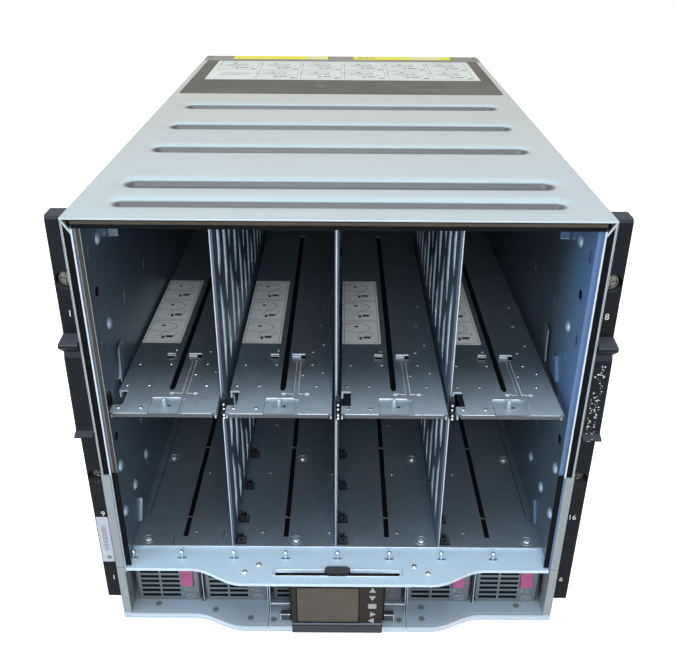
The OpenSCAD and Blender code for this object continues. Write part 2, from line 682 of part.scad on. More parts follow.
// Moulded bezel with a grip: two ledges reach forward round a hollow
module ear_bezel() {
    f = bezel_face_y;
    tip = f - grip_reach;
    high = grip_high_z;
    low = grip_low_z;
    wall = 2.4;
    rib = 36;
    screw_low = screw_low_z - 15;
    screw_high = screw_low_z + screw_rise - 15;
    difference() {
        across(-rack_w/2, ear_w - ear_gap) polygon([[f + 3, ear_top], [f + 1, ear_top - 1],
            [f, ear_top - 3.5], [f - 2, high + 4], [tip + 1.4, high + 2], [tip, high + 0.6],
            [tip, high - 1], [tip + 1.4, high - 2.8], [f - 8, high - 11], [f - 10, high - 16],
            [f - 12.5, low + 8], [f - 13.5, low + 4], [tip + 0.6, low + 2.4], [tip, low + 1.2],
            [tip, low], [tip + 1.5, low - 0.8], [f - 5, low - 1.4], [f - 5, ear_low + 4],
            [f + 2, ear_low], [flange_y, ear_low], [flange_y, ear_top]]);
        // ribbed pockets behind the moulded wall, between the screw tubes
        for (z = [[ear_low + 3, screw_low], [screw_low + 30, low - 6], [low + 11, high - 16],
                  [high + 9, screw_high], [screw_high + 30, ear_top - 3]])
            for (b = [z[0]:rib:z[1] - 6]) span([-rack_w/2 + 2.2, f + wall, b],
                [-body_w/2 - ear_gap - 1.7, flange_y + nudge, min(b + rib - 3, z[1])]);
        for (z = [screw_low_z, screw_low_z + screw_rise]) {
            translate([-screw_span/2, f - 20, z]) rotate([-90, 0, 0])
                cylinder(r = 8.2, h = 20 + head_y + head_h - f);
            translate([-screw_span/2, f, z]) rotate([-90, 0, 0])
                cylinder(r = screw_r + 0.6, h = flange_y - f + nudge);
        }
    }
}
module ear_bezels() color("#23272b") place()
    for (s = [0, 1]) mirror([s, 0, 0]) ear_bezel();

// Four rack screws: wide slotted heads in the bezels, shanks out behind the flanges
module rack_screws() color("#b9bcbe") place()
    for (s = [-1, 1], z = [screw_low_z, screw_low_z + screw_rise])
        translate([s*screw_span/2, head_y, z]) rotate([-90, 0, 0]) difference() {
            union() {
                cylinder(r = 5.5, h = head_h);
                cylinder(r = neck_r, h = thread_y - head_y + nudge);
                translate([0, 0, thread_y - head_y]) cylinder(r = screw_r, h = thread_l);
            }
            translate([-6, -0.8, -nudge]) cube([12, 1.6, nudge + 1.4]);
            translate([-0.8, -6, -nudge]) cube([1.6, 12, nudge + 1.4]);
        }

// ---------- rear ----------

module rear_cage() color("#8b8378") place() {
    w = body_w/2 - sheet;
    // rear strip of the top
    span([-body_w/2, cover_d, body_h - sheet], [body_w/2, body_d, body_h]);
    for (s = [0, 1]) mirror([s, 0, 0]) {
        span([-w, cage_low_y, inlet_top], [-w + side_t, rear_y, body_h - sheet]);
        span([-w, cage_rear_y, manager_z - sheet], [-w + side_t, rear_y, body_h - sheet]);
        // rails between the rows of interconnect bays
        for (r = [1:switch_rows - 1]) span([-w, cage_rear_y, switch_z + r*switch_h - 0.6],
                                           [-w + 8, rear_y, switch_z + r*switch_h + 0.6]);
    }
    span([-w, cage_low_y, inlet_top], [w, rear_y, inlet_top + sheet]);
    for (z = [manager_z - sheet, manager_z + manager_h, fan_high_z - sheet])
        span([-w, cage_rear_y, z], [w, rear_y, z + sheet]);
    // partitions between the fans, and between the two columns of interconnect bays
    for (i = [1:4], z = [[inlet_top + sheet, manager_z - sheet], [fan_high_z, body_h - sheet]]) {
        x = (fan_x(i - 1) + fan_x(i))/2;
        span([x - side_t/2, rear_y - fan_t - 8, z[0]], [x + side_t/2, rear_y, z[1]]);
    }
    span([-side_t/2, cage_rear_y, manager_z + manager_h], [side_t/2, rear_y, fan_high_z]);
}

// Eight blank fillers of the interconnect bays, each with rows of air slots and a grip
module interconnect_blanks() color("#2a2c2e") place() {
    w = body_w/2 - sheet - side_t - 0.6;
    h = switch_h - 2.4;
    skin = 2;
    rim = 3.5;
    for (r = [0:switch_rows - 1], s = [0, 1]) mirror([s, 0, 0])
        translate([side_t, rear_y, switch_z + r*switch_h + 1]) difference() {
            union() {
                span([0, -skin - rim, 0], [w - side_t, 0, h]);
                span([(w - side_t)/2 - 16, 0, 4], [(w - side_t)/2 + 16, grip_proud, 6]);
            }
            // shallow tray behind the face
            span([skin, -skin - rim - nudge, skin], [w - side_t - skin, -skin, h - skin]);
            for (i = [0:8], c = [0, 1]) translate([16 + i*(w - side_t - 32)/8, -skin - nudge, 16 + c*9])
                rotate([-90, 0, 0]) linear_extrude(skin + 2*nudge) slot2d(13, 3.6);
        }
}

// Two managers and the link panel between them: hollow cases with shallow port fields
module management_modules() color("#3a3d40") place() {
    z = manager_z + 0.6;
    h = manager_h - 1.2;
    w = body_w/2 - sheet - side_t - 0.6;
    deep = 150;
    for (x = [[-w, -62], [-60.8, 60.8], [62, w]]) {
        cx = (x[0] + x[1])/2;
        difference() {
            union() {
                span([x[0], rear_y - deep, z], [x[1], rear_y, z + h]);
                span([cx - 18, rear_y, z + 4], [cx + 18, rear_y + grip_proud, z + 6.5]);
            }
            span([x[0] + side_t, rear_y - deep + side_t, z + side_t],
                 [x[1] - side_t, rear_y - 6, z + h - side_t]);
            // air slots into the case
            for (i = [-3:3]) translate([cx + i*15, rear_y - deep - nudge, z + h/2])
                rotate([-90, 0, 0]) linear_extrude(side_t + 2*nudge) slot2d(12, 3.6);
            // ports in a row
            for (i = [0:4]) translate([x[0] + 12 + i*19, 0, z + 13])
                span([0, rear_y - 2.5, 0], [14, rear_y + nudge, 12]);
        }
    }
}

// Six power inlets with three flat pins each
module inlet_panel() color("#2b2e31") place() {
    w = body_w/2 - sheet - 1;
    difference() {
        span([-w, rear_y - 60, floor_z + 0.4], [w, rear_y, inlet_top - 0.4]);
        for (i = [0:5]) span([supply_x(i) - 16, rear_y - 20, 18], [supply_x(i) + 16, rear_y + nudge, 42]);
    }
    for (i = [0:5], p = [[-9, 33], [0, 23], [9, 33]]) translate([supply_x(i) + p[0], 0, p[1]])
        span([-1, rear_y - 20, -3.5], [1, rear_y - 4, 3.5]);
}

// Fan frame: square case, round duct, motor mount in front and guard behind
module fan_frame() {
    h = fan_size/2;
    difference() {
        span([-h, -fan_t, -h], [h, 0, h]);
        rotate([90, 0, 0]) translate([0, 0, -nudge]) cylinder(r = duct_r, h = fan_t + 2*nudge, $fn = 96);
    }
    // motor mount: boss, shaft and four struts
    translate([0, -fan_t + 4, 0]) rotate([90, 0, 0]) cylinder(r = 14, h = 4);
    translate([0, -4.6, 0]) rotate([90, 0, 0]) cylinder(r = shaft_r, h = fan_t - 8);
    for (a = [45:90:315]) rotate([0, a, 0]) span([12, -fan_t, -1.5], [duct_r + 1, -fan_t + 4, 1.5]);
    // guard rings and spokes
    for (r = [15, 27]) rotate([90, 0, 0]) difference() {
        cylinder(r = r + 0.9, h = 1.8);
        translate([0, 0, -nudge]) cylinder(r = r - 0.9, h = 1.8 + 2*nudge);
    }
    for (a = [0:45:315]) rotate([0, a, 0]) span([14, -1.8, -0.8], [duct_r + 1, 0, 0.8]);
    // finger grip
    span([-15, 0, -h + 2], [15, grip_proud, -h + 4.5]);
}
module fan_frames() color("#2f3133") place()
    for (z = [fan_low_z, fan_high_z], i = [0:4]) translate([fan_x(i), rear_y, z + h_fan]) fan_frame();
h_fan = fan_size/2 + 0.4;

// Rotor: hub on the shaft and pitched blades
module fan_rotor(i) color("#1f2123") place()
    translate([fan_x(i % 5), rear_y - 7, (i < 5 ? fan_high_z : fan_low_z) + h_fan]) {
        hub_r = 16;
        hub_d = fan_t - 16;
        rotate([90, 0, 0]) difference() {
            cylinder(r = hub_r, h = hub_d);
            translate([0, 0, -nudge]) cylinder(r = shaft_r + fit_r, h = hub_d + 2*nudge);
        }
        for (b = [0:blade_count - 1]) rotate([0, b*360/blade_count, 0]) intersection() {
            translate([hub_r - 1.5, -hub_d/2, 0]) rotate([38, 0, 0])
                span([0, -12, -0.8], [blade_r - hub_r, 12, 0.8]);
            rotate([90, 0, 0]) cylinder(r = blade_r, h = hub_d);
        }
    }
module fan_rotor_1() fan_rotor(0);
module fan_rotor_2() fan_rotor(1);
module fan_rotor_3() fan_rotor(2);
module fan_rotor_4() fan_rotor(3);
module fan_rotor_5() fan_rotor(4);
module fan_rotor_6() fan_rotor(5);
module fan_rotor_7() fan_rotor(6);
module fan_rotor_8() fan_rotor(7);
module fan_rotor_9() fan_rotor(8);
module fan_rotor_10() fan_rotor(9);

base_pan();
side_panel_left();
side_panel_right();
blade_cage();
top_cover();
rear_cage();
front_frame();
blade_deck();
zone_divider_1();
zone_divider_2();
zone_divider_3();
shelf_ledges();
divider_clips();
blade_pins();
supply_walls();
midplane();
ear_bezels();
rack_screws();
interconnect_blanks();
management_modules();
inlet_panel();
fan_frames();
fan_rotor_1();
fan_rotor_2();
fan_rotor_3();
fan_rotor_4();
fan_rotor_5();
fan_rotor_6();
fan_rotor_7();
fan_rotor_8();
fan_rotor_9();
fan_rotor_10();
display_carriage();
display_housing();
display_screen();
key_up();
key_down();
key_ok();
key_right();
key_left();
bay_shelf_1();
bay_shelf_2();
bay_shelf_3();
bay_shelf_4();
shelf_lock_1();
shelf_lock_2();
shelf_lock_3();
shelf_lock_4();
power_supply_1();
power_supply_2();
power_supply_3();
power_supply_4();
power_supply_5();
power_supply_6();
supply_latch_1();
supply_latch_2();
supply_latch_3();
supply_latch_4();
supply_latch_5();
supply_latch_6();
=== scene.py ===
"""Looks of the blade server chassis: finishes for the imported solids, small fittings, studio and camera.

Sizes in the classes below are chassis millimetres: X to the right, Y back from the front plane of the
skins, Z up from the underside. Datum turns them into the row's metres.
"""
from __future__ import annotations

import json
import logging
import math
import random
from dataclasses import dataclass
from enum import Enum
from typing import Any, Iterable, Sequence

import bmesh
import bpy
from mathutils import Matrix, Vector

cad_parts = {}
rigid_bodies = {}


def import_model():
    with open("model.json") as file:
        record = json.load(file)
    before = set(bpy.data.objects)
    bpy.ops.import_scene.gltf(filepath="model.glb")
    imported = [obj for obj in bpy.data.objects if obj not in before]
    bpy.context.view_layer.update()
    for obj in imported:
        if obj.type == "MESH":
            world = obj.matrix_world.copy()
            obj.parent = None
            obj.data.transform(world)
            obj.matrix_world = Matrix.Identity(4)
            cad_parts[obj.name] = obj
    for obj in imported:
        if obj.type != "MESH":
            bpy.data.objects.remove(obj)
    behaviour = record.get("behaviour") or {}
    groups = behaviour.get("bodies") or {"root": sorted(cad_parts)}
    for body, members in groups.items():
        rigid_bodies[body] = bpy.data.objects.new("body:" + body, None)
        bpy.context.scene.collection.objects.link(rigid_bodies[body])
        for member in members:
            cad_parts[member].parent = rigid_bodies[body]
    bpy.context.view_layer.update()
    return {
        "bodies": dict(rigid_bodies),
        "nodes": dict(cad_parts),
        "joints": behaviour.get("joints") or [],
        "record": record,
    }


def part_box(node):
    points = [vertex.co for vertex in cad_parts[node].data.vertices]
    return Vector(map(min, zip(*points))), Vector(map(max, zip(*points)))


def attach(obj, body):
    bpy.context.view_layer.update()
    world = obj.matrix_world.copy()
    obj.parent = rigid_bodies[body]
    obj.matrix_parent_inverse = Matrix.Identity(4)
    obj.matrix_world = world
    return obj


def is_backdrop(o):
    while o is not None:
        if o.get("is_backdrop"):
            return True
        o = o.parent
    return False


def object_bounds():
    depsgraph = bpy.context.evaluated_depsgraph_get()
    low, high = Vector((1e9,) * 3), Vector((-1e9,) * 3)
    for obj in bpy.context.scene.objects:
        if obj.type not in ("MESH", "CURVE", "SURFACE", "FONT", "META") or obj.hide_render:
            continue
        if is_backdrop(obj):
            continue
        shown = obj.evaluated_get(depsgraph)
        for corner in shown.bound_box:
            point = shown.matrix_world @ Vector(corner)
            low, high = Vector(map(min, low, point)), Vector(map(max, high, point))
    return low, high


LOG = logging.getLogger("chassis")
SEED = 7
MM = 0.001

Point = tuple[float, float, float]
Stud = tuple[Point, Point]
Tint = tuple[int, int, int]
Band = tuple[str, float, float]


class Body(str, Enum):
    """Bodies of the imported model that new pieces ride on, apart from the numbered ones."""

    ENCLOSURE = "enclosure"
    DISPLAY = "display"
    CARRIAGE = "display_carriage"


class Slot(str, Enum):
    """Material slots of the record, listed with each new piece; no piece is given its slot."""

    SKIN = "skin"
    COVER = "cover"
    REAR = "rear_sheet"
    LINER = "liner"
    DECK = "deck"
    ARM = "arm"
    PIN = "pin"
    MOULDING = "moulding"
    CASE = "display_case"
    FAN = "fan"
    SUPPLY = "supply"
    LATCH = "latch"


class Socket(str, Enum):
    """Kinds of node socket."""

    NUMBER = "NodeSocketFloat"
    COUNT = "NodeSocketInt"
    VECTOR = "NodeSocketVector"
    COLOUR = "NodeSocketColor"
    FINISH = "NodeSocketMaterial"
    SHAPE = "NodeSocketGeometry"


def linear(tint: Tint) -> tuple[float, float, float, float]:
    """Turns an 8-bit display colour into Blender's linear colour.

    Args:
        tint: Red, green and blue from 0 to 255.

    Returns:
        Linear red, green, blue and an alpha of 1.
    """
    parts = [c / 255 for c in tint]
    r, g, b = [c / 12.92 if c <= 0.04045 else ((c + 0.055) / 1.055) ** 2.4 for c in parts]
    return (r, g, b, 1.0)


def link(name: str, data: Any) -> bpy.types.Object:
    """Makes an object and links it to the scene.

    Args:
        name: Name of the object.
        data: Its mesh, curve, light or camera.

    Returns:
        The new object.
    """
    thing = bpy.data.objects.new(name, data)
    bpy.context.scene.collection.objects.link(thing)
    return thing


# ---------------------------------------------------------------------------
# Node writing
# ---------------------------------------------------------------------------


class NodeSheet:
    """Writes nodes and links into one shader or geometry tree."""

    def __init__(self, tree: bpy.types.NodeTree) -> None:
        """Keeps the tree that the other methods write to."""
        self.tree = tree

    def socket(self, label: str, kind: Socket, way: str, default: Any = None) -> None:
        """Adds a named socket to the tree's interface.

        Args:
            label: Name of the socket.
            kind: Its kind.
            way: INPUT or OUTPUT.
            default: Its default value, or None for Blender's own.
        """
        made = self.tree.interface.new_socket(label, in_out=way, socket_type=kind.value)
        if default is not None:
            made.default_value = default

    def add(self, kind: str, inputs: dict[str | int, Any] | None = None, **settings: Any) -> bpy.types.Node:
        """Adds a node.

        Args:
            kind: Blender's type name of the node.
            inputs: What its inputs get, by name or number.
            settings: Properties set on the new node.

        Returns:
            The new node.
        """
        node = self.tree.nodes.new(kind)
        for key, value in settings.items():
            setattr(node, key, value)
        for key, value in (inputs or {}).items():
            self.feed(node.inputs[key], value)
        return node

    def feed(self, socket: bpy.types.NodeSocket, value: Any) -> None:
        """Links a socket to an output, or sets its own value.

        Args:
            socket: Input that gets the value.
            value: An output socket, or a plain number, colour or vector.
        """
        if isinstance(value, bpy.types.NodeSocket):
            self.tree.links.new(value, socket)
        else:
            socket.default_value = value

    def math(self, operation: str, *values: Any, clamp: bool = False) -> bpy.types.NodeSocket:
        """Adds a Math node with its inputs in order and gives its output."""
        return self.add("ShaderNodeMath", dict(enumerate(values)), operation=operation, use_clamp=clamp).outputs[0]

    def vector(self, operation: str, *values: Any) -> bpy.types.NodeSocket:
        """Adds a Vector Math node with its inputs in order and gives its vector output."""
        return self.add("ShaderNodeVectorMath", dict(enumerate(values)), operation=operation).outputs[0]

    def span(self, value: Any, low: float, high: float, to_low: float = 0.0,
             to_high: float = 1.0) -> bpy.types.NodeSocket:
        """Adds a clamped Map Range node that turns low to high into to_low to to_high."""
        return self.add("ShaderNodeMapRange", {"Value": value, "From Min": low, "From Max": high,
                                               "To Min": to_low, "To Max": to_high}).outputs["Result"]

    def noise(self, place: Any, scale: Any, detail: float = 3.0, rough: float = 0.55) -> bpy.types.NodeSocket:
        """Adds a noise texture and gives its grey output."""
        return self.add("ShaderNodeTexNoise", {"Vector": place, "Scale": scale, "Detail": detail,
                                               "Roughness": rough}).outputs[0]

    def mix(self, share: Any, first: Any, second: Any) -> bpy.types.NodeSocket:
        """Adds a mix of two colours, where share is the second one's."""
        return self.add("ShaderNodeMix", {"Factor": share, 6: first, 7: second}, data_type="RGBA").outputs[2]

    def part(self, vector: Any, axis: str) -> bpy.types.NodeSocket:
        """Takes the X, Y or Z of a vector."""
        return self.add("ShaderNodeSeparateXYZ", {0: vector}).outputs[axis]

    def cells(self, place: Any, scale: Any, channel: int) -> tuple[bpy.types.NodeSocket, bpy.types.NodeSocket]:
        """Adds a cell texture.

        Args:
            place: Coordinates.
            scale: Scale, a number or an output.
            channel: Which channel of a cell's random colour is read.

        Returns:
            The distance from the cell's middle, and the cell's random number.
        """
        cells = self.add("ShaderNodeTexVoronoi", {"Vector": place, "Scale": scale})
        split = self.add("ShaderNodeSeparateColor", {0: cells.outputs["Color"]})
        return cells.outputs["Distance"], split.outputs[channel]


class Effect(Enum):
    """Shader node groups that more than one finish uses."""

    MOTTLE = "surface_mottle"
    GRAIN = "fine_grain"
    SCRATCHES = "hair_scratches"
    DUST = "settled_dust"
    SPANGLE = "zinc_spangle"


class EffectShelf:
    """Builds each shared shader group once and hands it out."""

    def __init__(self) -> None:
        """Builds the five groups."""
        self.groups = {effect: getattr(self, "_" + effect.name.lower())(effect) for effect in Effect}

    @staticmethod
    def _open(effect: Effect, inputs: Sequence[tuple[str, Socket, Any]],
              outputs: Sequence[tuple[str, Socket]]) -> tuple[NodeSheet, Any, Any]:
        """Starts a group that reads coordinates, with named sockets.

        Args:
            effect: The effect that the group makes.
            inputs: Name, kind and default of each input after the coordinates.
            outputs: Name and kind of each output.

        Returns:
            The sheet, the group's given values and the sockets that take its results.
        """
        sheet = NodeSheet(bpy.data.node_groups.new(effect.value, "ShaderNodeTree"))
        sheet.socket("Vector", Socket.VECTOR, "INPUT")
        for label, kind, default in inputs:
            sheet.socket(label, kind, "INPUT", default)
        for label, kind in outputs:
            sheet.socket(label, kind, "OUTPUT")
        return sheet, sheet.add("NodeGroupInput").outputs, sheet.add("NodeGroupOutput").inputs

    def _mottle(self, effect: Effect) -> bpy.types.NodeTree:
        """Writes a cloudy change between two colours, with a finer layer on top.

        Args:
            effect: The effect.

        Returns:
            The group.
        """
        sheet, given, out = self._open(
            effect, [("Base", Socket.COLOUR, (1, 1, 1, 1)), ("Tint", Socket.COLOUR, (1, 1, 1, 1)),
                     ("Scale", Socket.NUMBER, 6.0), ("Amount", Socket.NUMBER, 0.5)],
            [("Color", Socket.COLOUR), ("Mask", Socket.NUMBER)])
        broad = sheet.noise(given["Vector"], given["Scale"], 4.0)
        fine = sheet.noise(given["Vector"], sheet.math("MULTIPLY", given["Scale"], 9.0))
        both = sheet.math("ADD", sheet.span(broad, 0.32, 0.68), sheet.span(fine, 0.3, 0.7, -0.2, 0.2))
        mask = sheet.math("MULTIPLY", both, given["Amount"], clamp=True)
        sheet.feed(out["Color"], sheet.mix(mask, given["Base"], given["Tint"]))
        sheet.feed(out["Mask"], mask)
        return sheet.tree

    def _grain(self, effect: Effect) -> bpy.types.NodeTree:
        """Writes a fine grain drawn out along one axis by the stretch of the coordinates.

        Args:
            effect: The effect.

        Returns:
            The group.
        """
        sheet, given, out = self._open(
            effect, [("Stretch", Socket.VECTOR, (1, 1, 1)), ("Scale", Socket.NUMBER, 900.0)],
            [("Height", Socket.NUMBER)])
        place = sheet.vector("MULTIPLY", given["Vector"], given["Stretch"])
        sheet.feed(out["Height"], sheet.noise(place, given["Scale"], 2.0, 0.6))
        return sheet.tree

    def _scratches(self, effect: Effect) -> bpy.types.NodeTree:
        """Writes thin pale scratches along X and Y, and short crossing ones.

        Args:
            effect: The effect.

        Returns:
            The group.
        """
        sheet, given, out = self._open(
            effect, [("Scale", Socket.NUMBER, 30.0), ("Amount", Socket.NUMBER, 0.3)], [("Mask", Socket.NUMBER)])
        most: Any = 0.0
        for stretch, turn in (((0.06, 1.0, 1.0), 0.35), ((1.0, 0.05, 1.0), -0.2), ((1.0, 1.0, 0.07), 0.1)):
            turned = sheet.add("ShaderNodeVectorRotate", {"Vector": given["Vector"], "Angle": turn},
                               rotation_type="Z_AXIS")
            place = sheet.vector("MULTIPLY", turned.outputs[0], stretch)
            line = sheet.noise(place, sheet.math("MULTIPLY", given["Scale"], 8.0), 1.0)
            thin = sheet.span(sheet.math("ABSOLUTE", sheet.math("SUBTRACT", line, 0.5)), 0.0, 0.012, 1.0, 0.0)
            where = sheet.span(sheet.noise(given["Vector"], given["Scale"]), 0.55, 0.66)
            most = sheet.math("MAXIMUM", most, sheet.math("MULTIPLY", thin, where))
        sheet.feed(out["Mask"], sheet.math("MULTIPLY", most, given["Amount"]))
        return sheet.tree

    def _dust(self, effect: Effect) -> bpy.types.NodeTree:
        """Writes small separate specks and a thin haze on faces that look up.

        Args:
            effect: The effect.

        Returns:
            The group.
        """
        sheet, given, out = self._open(
            effect, [("Scale", Socket.NUMBER, 160.0), ("Amount", Socket.NUMBER, 0.3)], [("Mask", Socket.NUMBER)])
        distance, chance = sheet.cells(given["Vector"], given["Scale"], 0)
        speck = sheet.span(distance, 0.05, 0.14, 1.0, 0.0)
        few = sheet.span(chance, 0.72, 0.8)
        up = sheet.span(sheet.part(sheet.add("ShaderNodeNewGeometry").outputs["Normal"], "Z"), 0.35, 0.9)
        haze = sheet.span(sheet.noise(given["Vector"], 14.0, 4.0), 0.45, 0.75, 0.0, 0.35)
        both = sheet.math("ADD", sheet.math("MULTIPLY", speck, few), sheet.math("MULTIPLY", haze, up))
        sheet.feed(out["Mask"], sheet.math("MULTIPLY", both, given["Amount"], clamp=True))
        return sheet.tree

    def _spangle(self, effect: Effect) -> bpy.types.NodeTree:
        """Writes zinc crystals: flat cells of slightly different brightness.

        Args:
            effect: The effect.

        Returns:
            The group.
        """
        sheet, given, out = self._open(effect, [("Scale", Socket.NUMBER, 220.0)], [("Mask", Socket.NUMBER)])
        wobble = sheet.add("ShaderNodeTexNoise", {"Vector": given["Vector"], "Scale": 260.0}).outputs["Color"]
        shift = sheet.add("ShaderNodeVectorMath", {0: wobble, "Scale": 0.004}, operation="SCALE").outputs[0]
        place = sheet.vector("ADD", given["Vector"], shift)
        sheet.feed(out["Mask"], sheet.cells(place, given["Scale"], 1)[1])
        return sheet.tree


# ---------------------------------------------------------------------------
# Finishes
# ---------------------------------------------------------------------------


SPANGLE_SCALE = 210.0
SCRATCH_SCALE = 26.0
DUST_SCALE = 170.0
GRAIN_STRENGTH = 0.6


@dataclass(frozen=True)
class Patch:
    """A part of a surface that is tinted or shines otherwise.

    Each band names an axis (X, Y or Z of the place, NX, NY or NZ of the facing), the value at which the
    patch is full and the value at which it has gone. The patch is where all its bands meet.
    """

    bands: tuple[Band, ...]
    tint: Tint | None = None
    metallic: float | None = None


@dataclass(frozen=True)
class Finish:
    """One surface finish, written as a Principled material with shared effects."""

    name: str
    base: Tint
    tint: Tint
    rough: float = 0.45
    rough_swing: float = 0.08
    metallic: float = 0.0
    coat: float = 0.0
    specular: float = 0.5
    mottle_scale: float = 7.0
    mottle: float = 0.5
    grain_scale: float = 1400.0
    grain_depth: float = 0.00001
    stretch: Point = (1.0, 1.0, 1.0)
    spangle: float = 0.0
    scratches: float = 0.0
    scratch_tint: Tint = (230, 232, 235)
    dust: float = 0.0
    dust_tint: Tint = (150, 150, 145)
    patches: tuple[Patch, ...] = ()

    def build(self, effects: EffectShelf) -> bpy.types.Material:
        """Writes the material.

        Args:
            effects: The shared shader groups.

        Returns:
            The new material.
        """
        material = bpy.data.materials.new(self.name)
        material.use_nodes = True
        sheet = NodeSheet(material.node_tree)
        shader = material.node_tree.nodes["Principled BSDF"]
        place = sheet.add("ShaderNodeTexCoord").outputs["Object"]

        def effect(kind: Effect, **values: Any) -> Any:
            """Places one shared group with its own values and gives its outputs."""
            return sheet.add("ShaderNodeGroup", {"Vector": place, **values}, node_tree=effects.groups[kind]).outputs

        cloud = effect(Effect.MOTTLE, Base=linear(self.base), Tint=linear(self.tint),
                       Scale=self.mottle_scale, Amount=self.mottle)
        colour = cloud["Color"]
        if self.spangle:
            share = sheet.span(effect(Effect.SPANGLE, Scale=SPANGLE_SCALE)["Mask"], 0.0, 1.0, 0.0, self.spangle)
            colour = sheet.mix(share, colour, linear(self.tint))
        if self.scratches:
            mark = effect(Effect.SCRATCHES, Scale=SCRATCH_SCALE, Amount=self.scratches)["Mask"]
            colour = sheet.mix(mark, colour, linear(self.scratch_tint))
        if self.dust:
            film = effect(Effect.DUST, Scale=DUST_SCALE, Amount=self.dust)["Mask"]
            colour = sheet.mix(film, colour, linear(self.dust_tint))
        shader.inputs["Metallic"].default_value = self.metallic
        shine: Any = self.metallic
        for patch in self.patches:
            share = self._share(sheet, place, patch)
            if patch.tint:
                colour = sheet.mix(share, colour, linear(patch.tint))
            if patch.metallic is not None:
                shine = sheet.math("MULTIPLY_ADD", share, patch.metallic - self.metallic, shine)
                sheet.feed(shader.inputs["Metallic"], shine)
        sheet.feed(shader.inputs["Base Color"], colour)
        low, high = self.rough - self.rough_swing, self.rough + self.rough_swing
        sheet.feed(shader.inputs["Roughness"], sheet.span(cloud["Mask"], 0.0, 1.0, low, high))
        grain = effect(Effect.GRAIN, Stretch=self.stretch, Scale=self.grain_scale)["Height"]
        bump = sheet.add("ShaderNodeBump", {"Height": grain, "Distance": self.grain_depth,
                                            "Strength": GRAIN_STRENGTH})
        sheet.feed(shader.inputs["Normal"], bump.outputs["Normal"])
        shader.inputs["Coat Weight"].default_value = self.coat
        shader.inputs["Specular IOR Level"].default_value = self.specular
        return material

    @staticmethod
    def _share(sheet: NodeSheet, place: bpy.types.NodeSocket, patch: Patch) -> Any:
        """Gives how much of a patch there is at a point.

        Args:
            sheet: Sheet of the material.
            place: Object coordinates.
            patch: The patch.

        Returns:
            A socket from 0 to 1.
        """
        share: Any = 1.0
        for axis, full, clear in patch.bands:
            source = sheet.add("ShaderNodeNewGeometry").outputs["True Normal"] if axis[0] == "N" else place
            low, high = min(full, clear), max(full, clear)
            ends = (1.0, 0.0) if full < clear else (0.0, 1.0)
            share = sheet.math("MULTIPLY", share, sheet.span(sheet.part(source, axis[-1]), low, high, *ends))
        return share


# Painted light on the cover: the shallow bead shoulders that face the front carry a painted highlight in pale cyan,
# and the bead floors carry painted shade in dark grey; the first patch makes the sheet greyer towards the back.
COVER = Finish("cover_satin_sheet", (176, 189, 195), (167, 181, 188), rough=0.5, metallic=0.1, mottle_scale=3.0,
               grain_scale=2200.0, scratches=0.12, scratch_tint=(225, 230, 232), dust=0.12,
               patches=(Patch((("Y", 0.1, -0.38),), (180, 184, 179)),
                        Patch((("NY", -0.11, -0.06), ("Z", 0.4400, 0.4422), ("NZ", 0.9, 0.8)), (182, 210, 222)),
                        Patch((("Z", 0.4401, 0.4406),), (80, 84, 88))))
SKIN = Finish("skin_zinc_sheet", (168, 180, 186), (150, 164, 172), rough=0.42, metallic=0.35, spangle=0.35,
              scratches=0.2, dust=0.1)
REAR = Finish("rear_brown_grey_sheet", (118, 112, 104), (100, 96, 90), rough=0.46, metallic=0.3, dust=0.15)
# Painted light on the liner: the upper front of the right wall is painted paler and bluer as a painted reflection of
# window light, and the front faces of the right flange are painted a darker blue as painted shade.
LINER = Finish("liner_zinc_sheet", (138, 158, 174), (112, 129, 142), rough=0.46, metallic=0.8, spangle=0.5,
               scratches=0.12, dust=0.1,
               patches=(Patch((("NX", -0.95, -0.6), ("X", 0.20, 0.19), ("Y", -0.392, -0.27),
                               ("Z", 0.28, 0.2)), (116, 156, 206), 0.3),
                        Patch((("NY", -0.9, -0.5), ("X", 0.205, 0.2)), (78, 104, 140), 0.3)))
# Painted shade: the front face of each divider's fold is painted darker and bluer.
DIVIDER = Finish("divider_zinc_sheet", (120, 140, 158), (98, 115, 130), rough=0.46, metallic=0.84, spangle=0.5,
                 scratches=0.12, dust=0.1, patches=(Patch((("Y", -0.3588, -0.3582),), (66, 80, 96), 0.5),))
# Painted reflection: the lip in front of the crease is painted paler and bluer, as bright light off the room above.
DECK = Finish("deck_zinc_sheet", (168, 188, 203), (142, 160, 174), rough=0.46, metallic=0.8, spangle=0.45,
              scratches=0.3, dust=0.25, stretch=(0.08, 1.0, 1.0),
              patches=(Patch((("Y", -0.3615, -0.36),), (188, 214, 234), 0.12),))
# Painted shade: the shelf's front flange is painted dark grey; the first patch only lowers the metallic near the
# front.
SHELF = Finish("shelf_zinc_sheet", (168, 187, 201), (142, 159, 172), rough=0.46, metallic=0.84, spangle=0.45,
               scratches=0.3, dust=0.2, stretch=(0.08, 1.0, 1.0),
               patches=(Patch((("Y", -0.38, -0.29),), None, 0.22),
                        Patch((("Y", -0.3819, -0.3815),), (62, 68, 74), 0.3)))
# Painted reflection: the apron's top and everything below it are painted paler and bluer.
ARM = Finish("arm_silver_paint", (130, 138, 142), (120, 128, 132), rough=0.42, metallic=0.3, mottle_scale=12.0,
             grain_scale=2600.0, grain_depth=0.00002, scratches=0.18,
             patches=(Patch((("Z", 0.0073, 0.0078),), (160, 180, 196), 0.3),))
# The lip paint is lighter than the frame's: partly the trim's own silver, partly a painted highlight on the rounded
# lip.
LIP = Finish("lip_silver_paint", (190, 194, 198), (178, 182, 186), rough=0.36, metallic=0.4, mottle_scale=14.0,
             grain_scale=2600.0, grain_depth=0.00002, scratches=0.15)
STEEL = Finish("turned_steel", (214, 220, 226), (190, 197, 203), rough=0.24, metallic=0.9, mottle_scale=60.0)
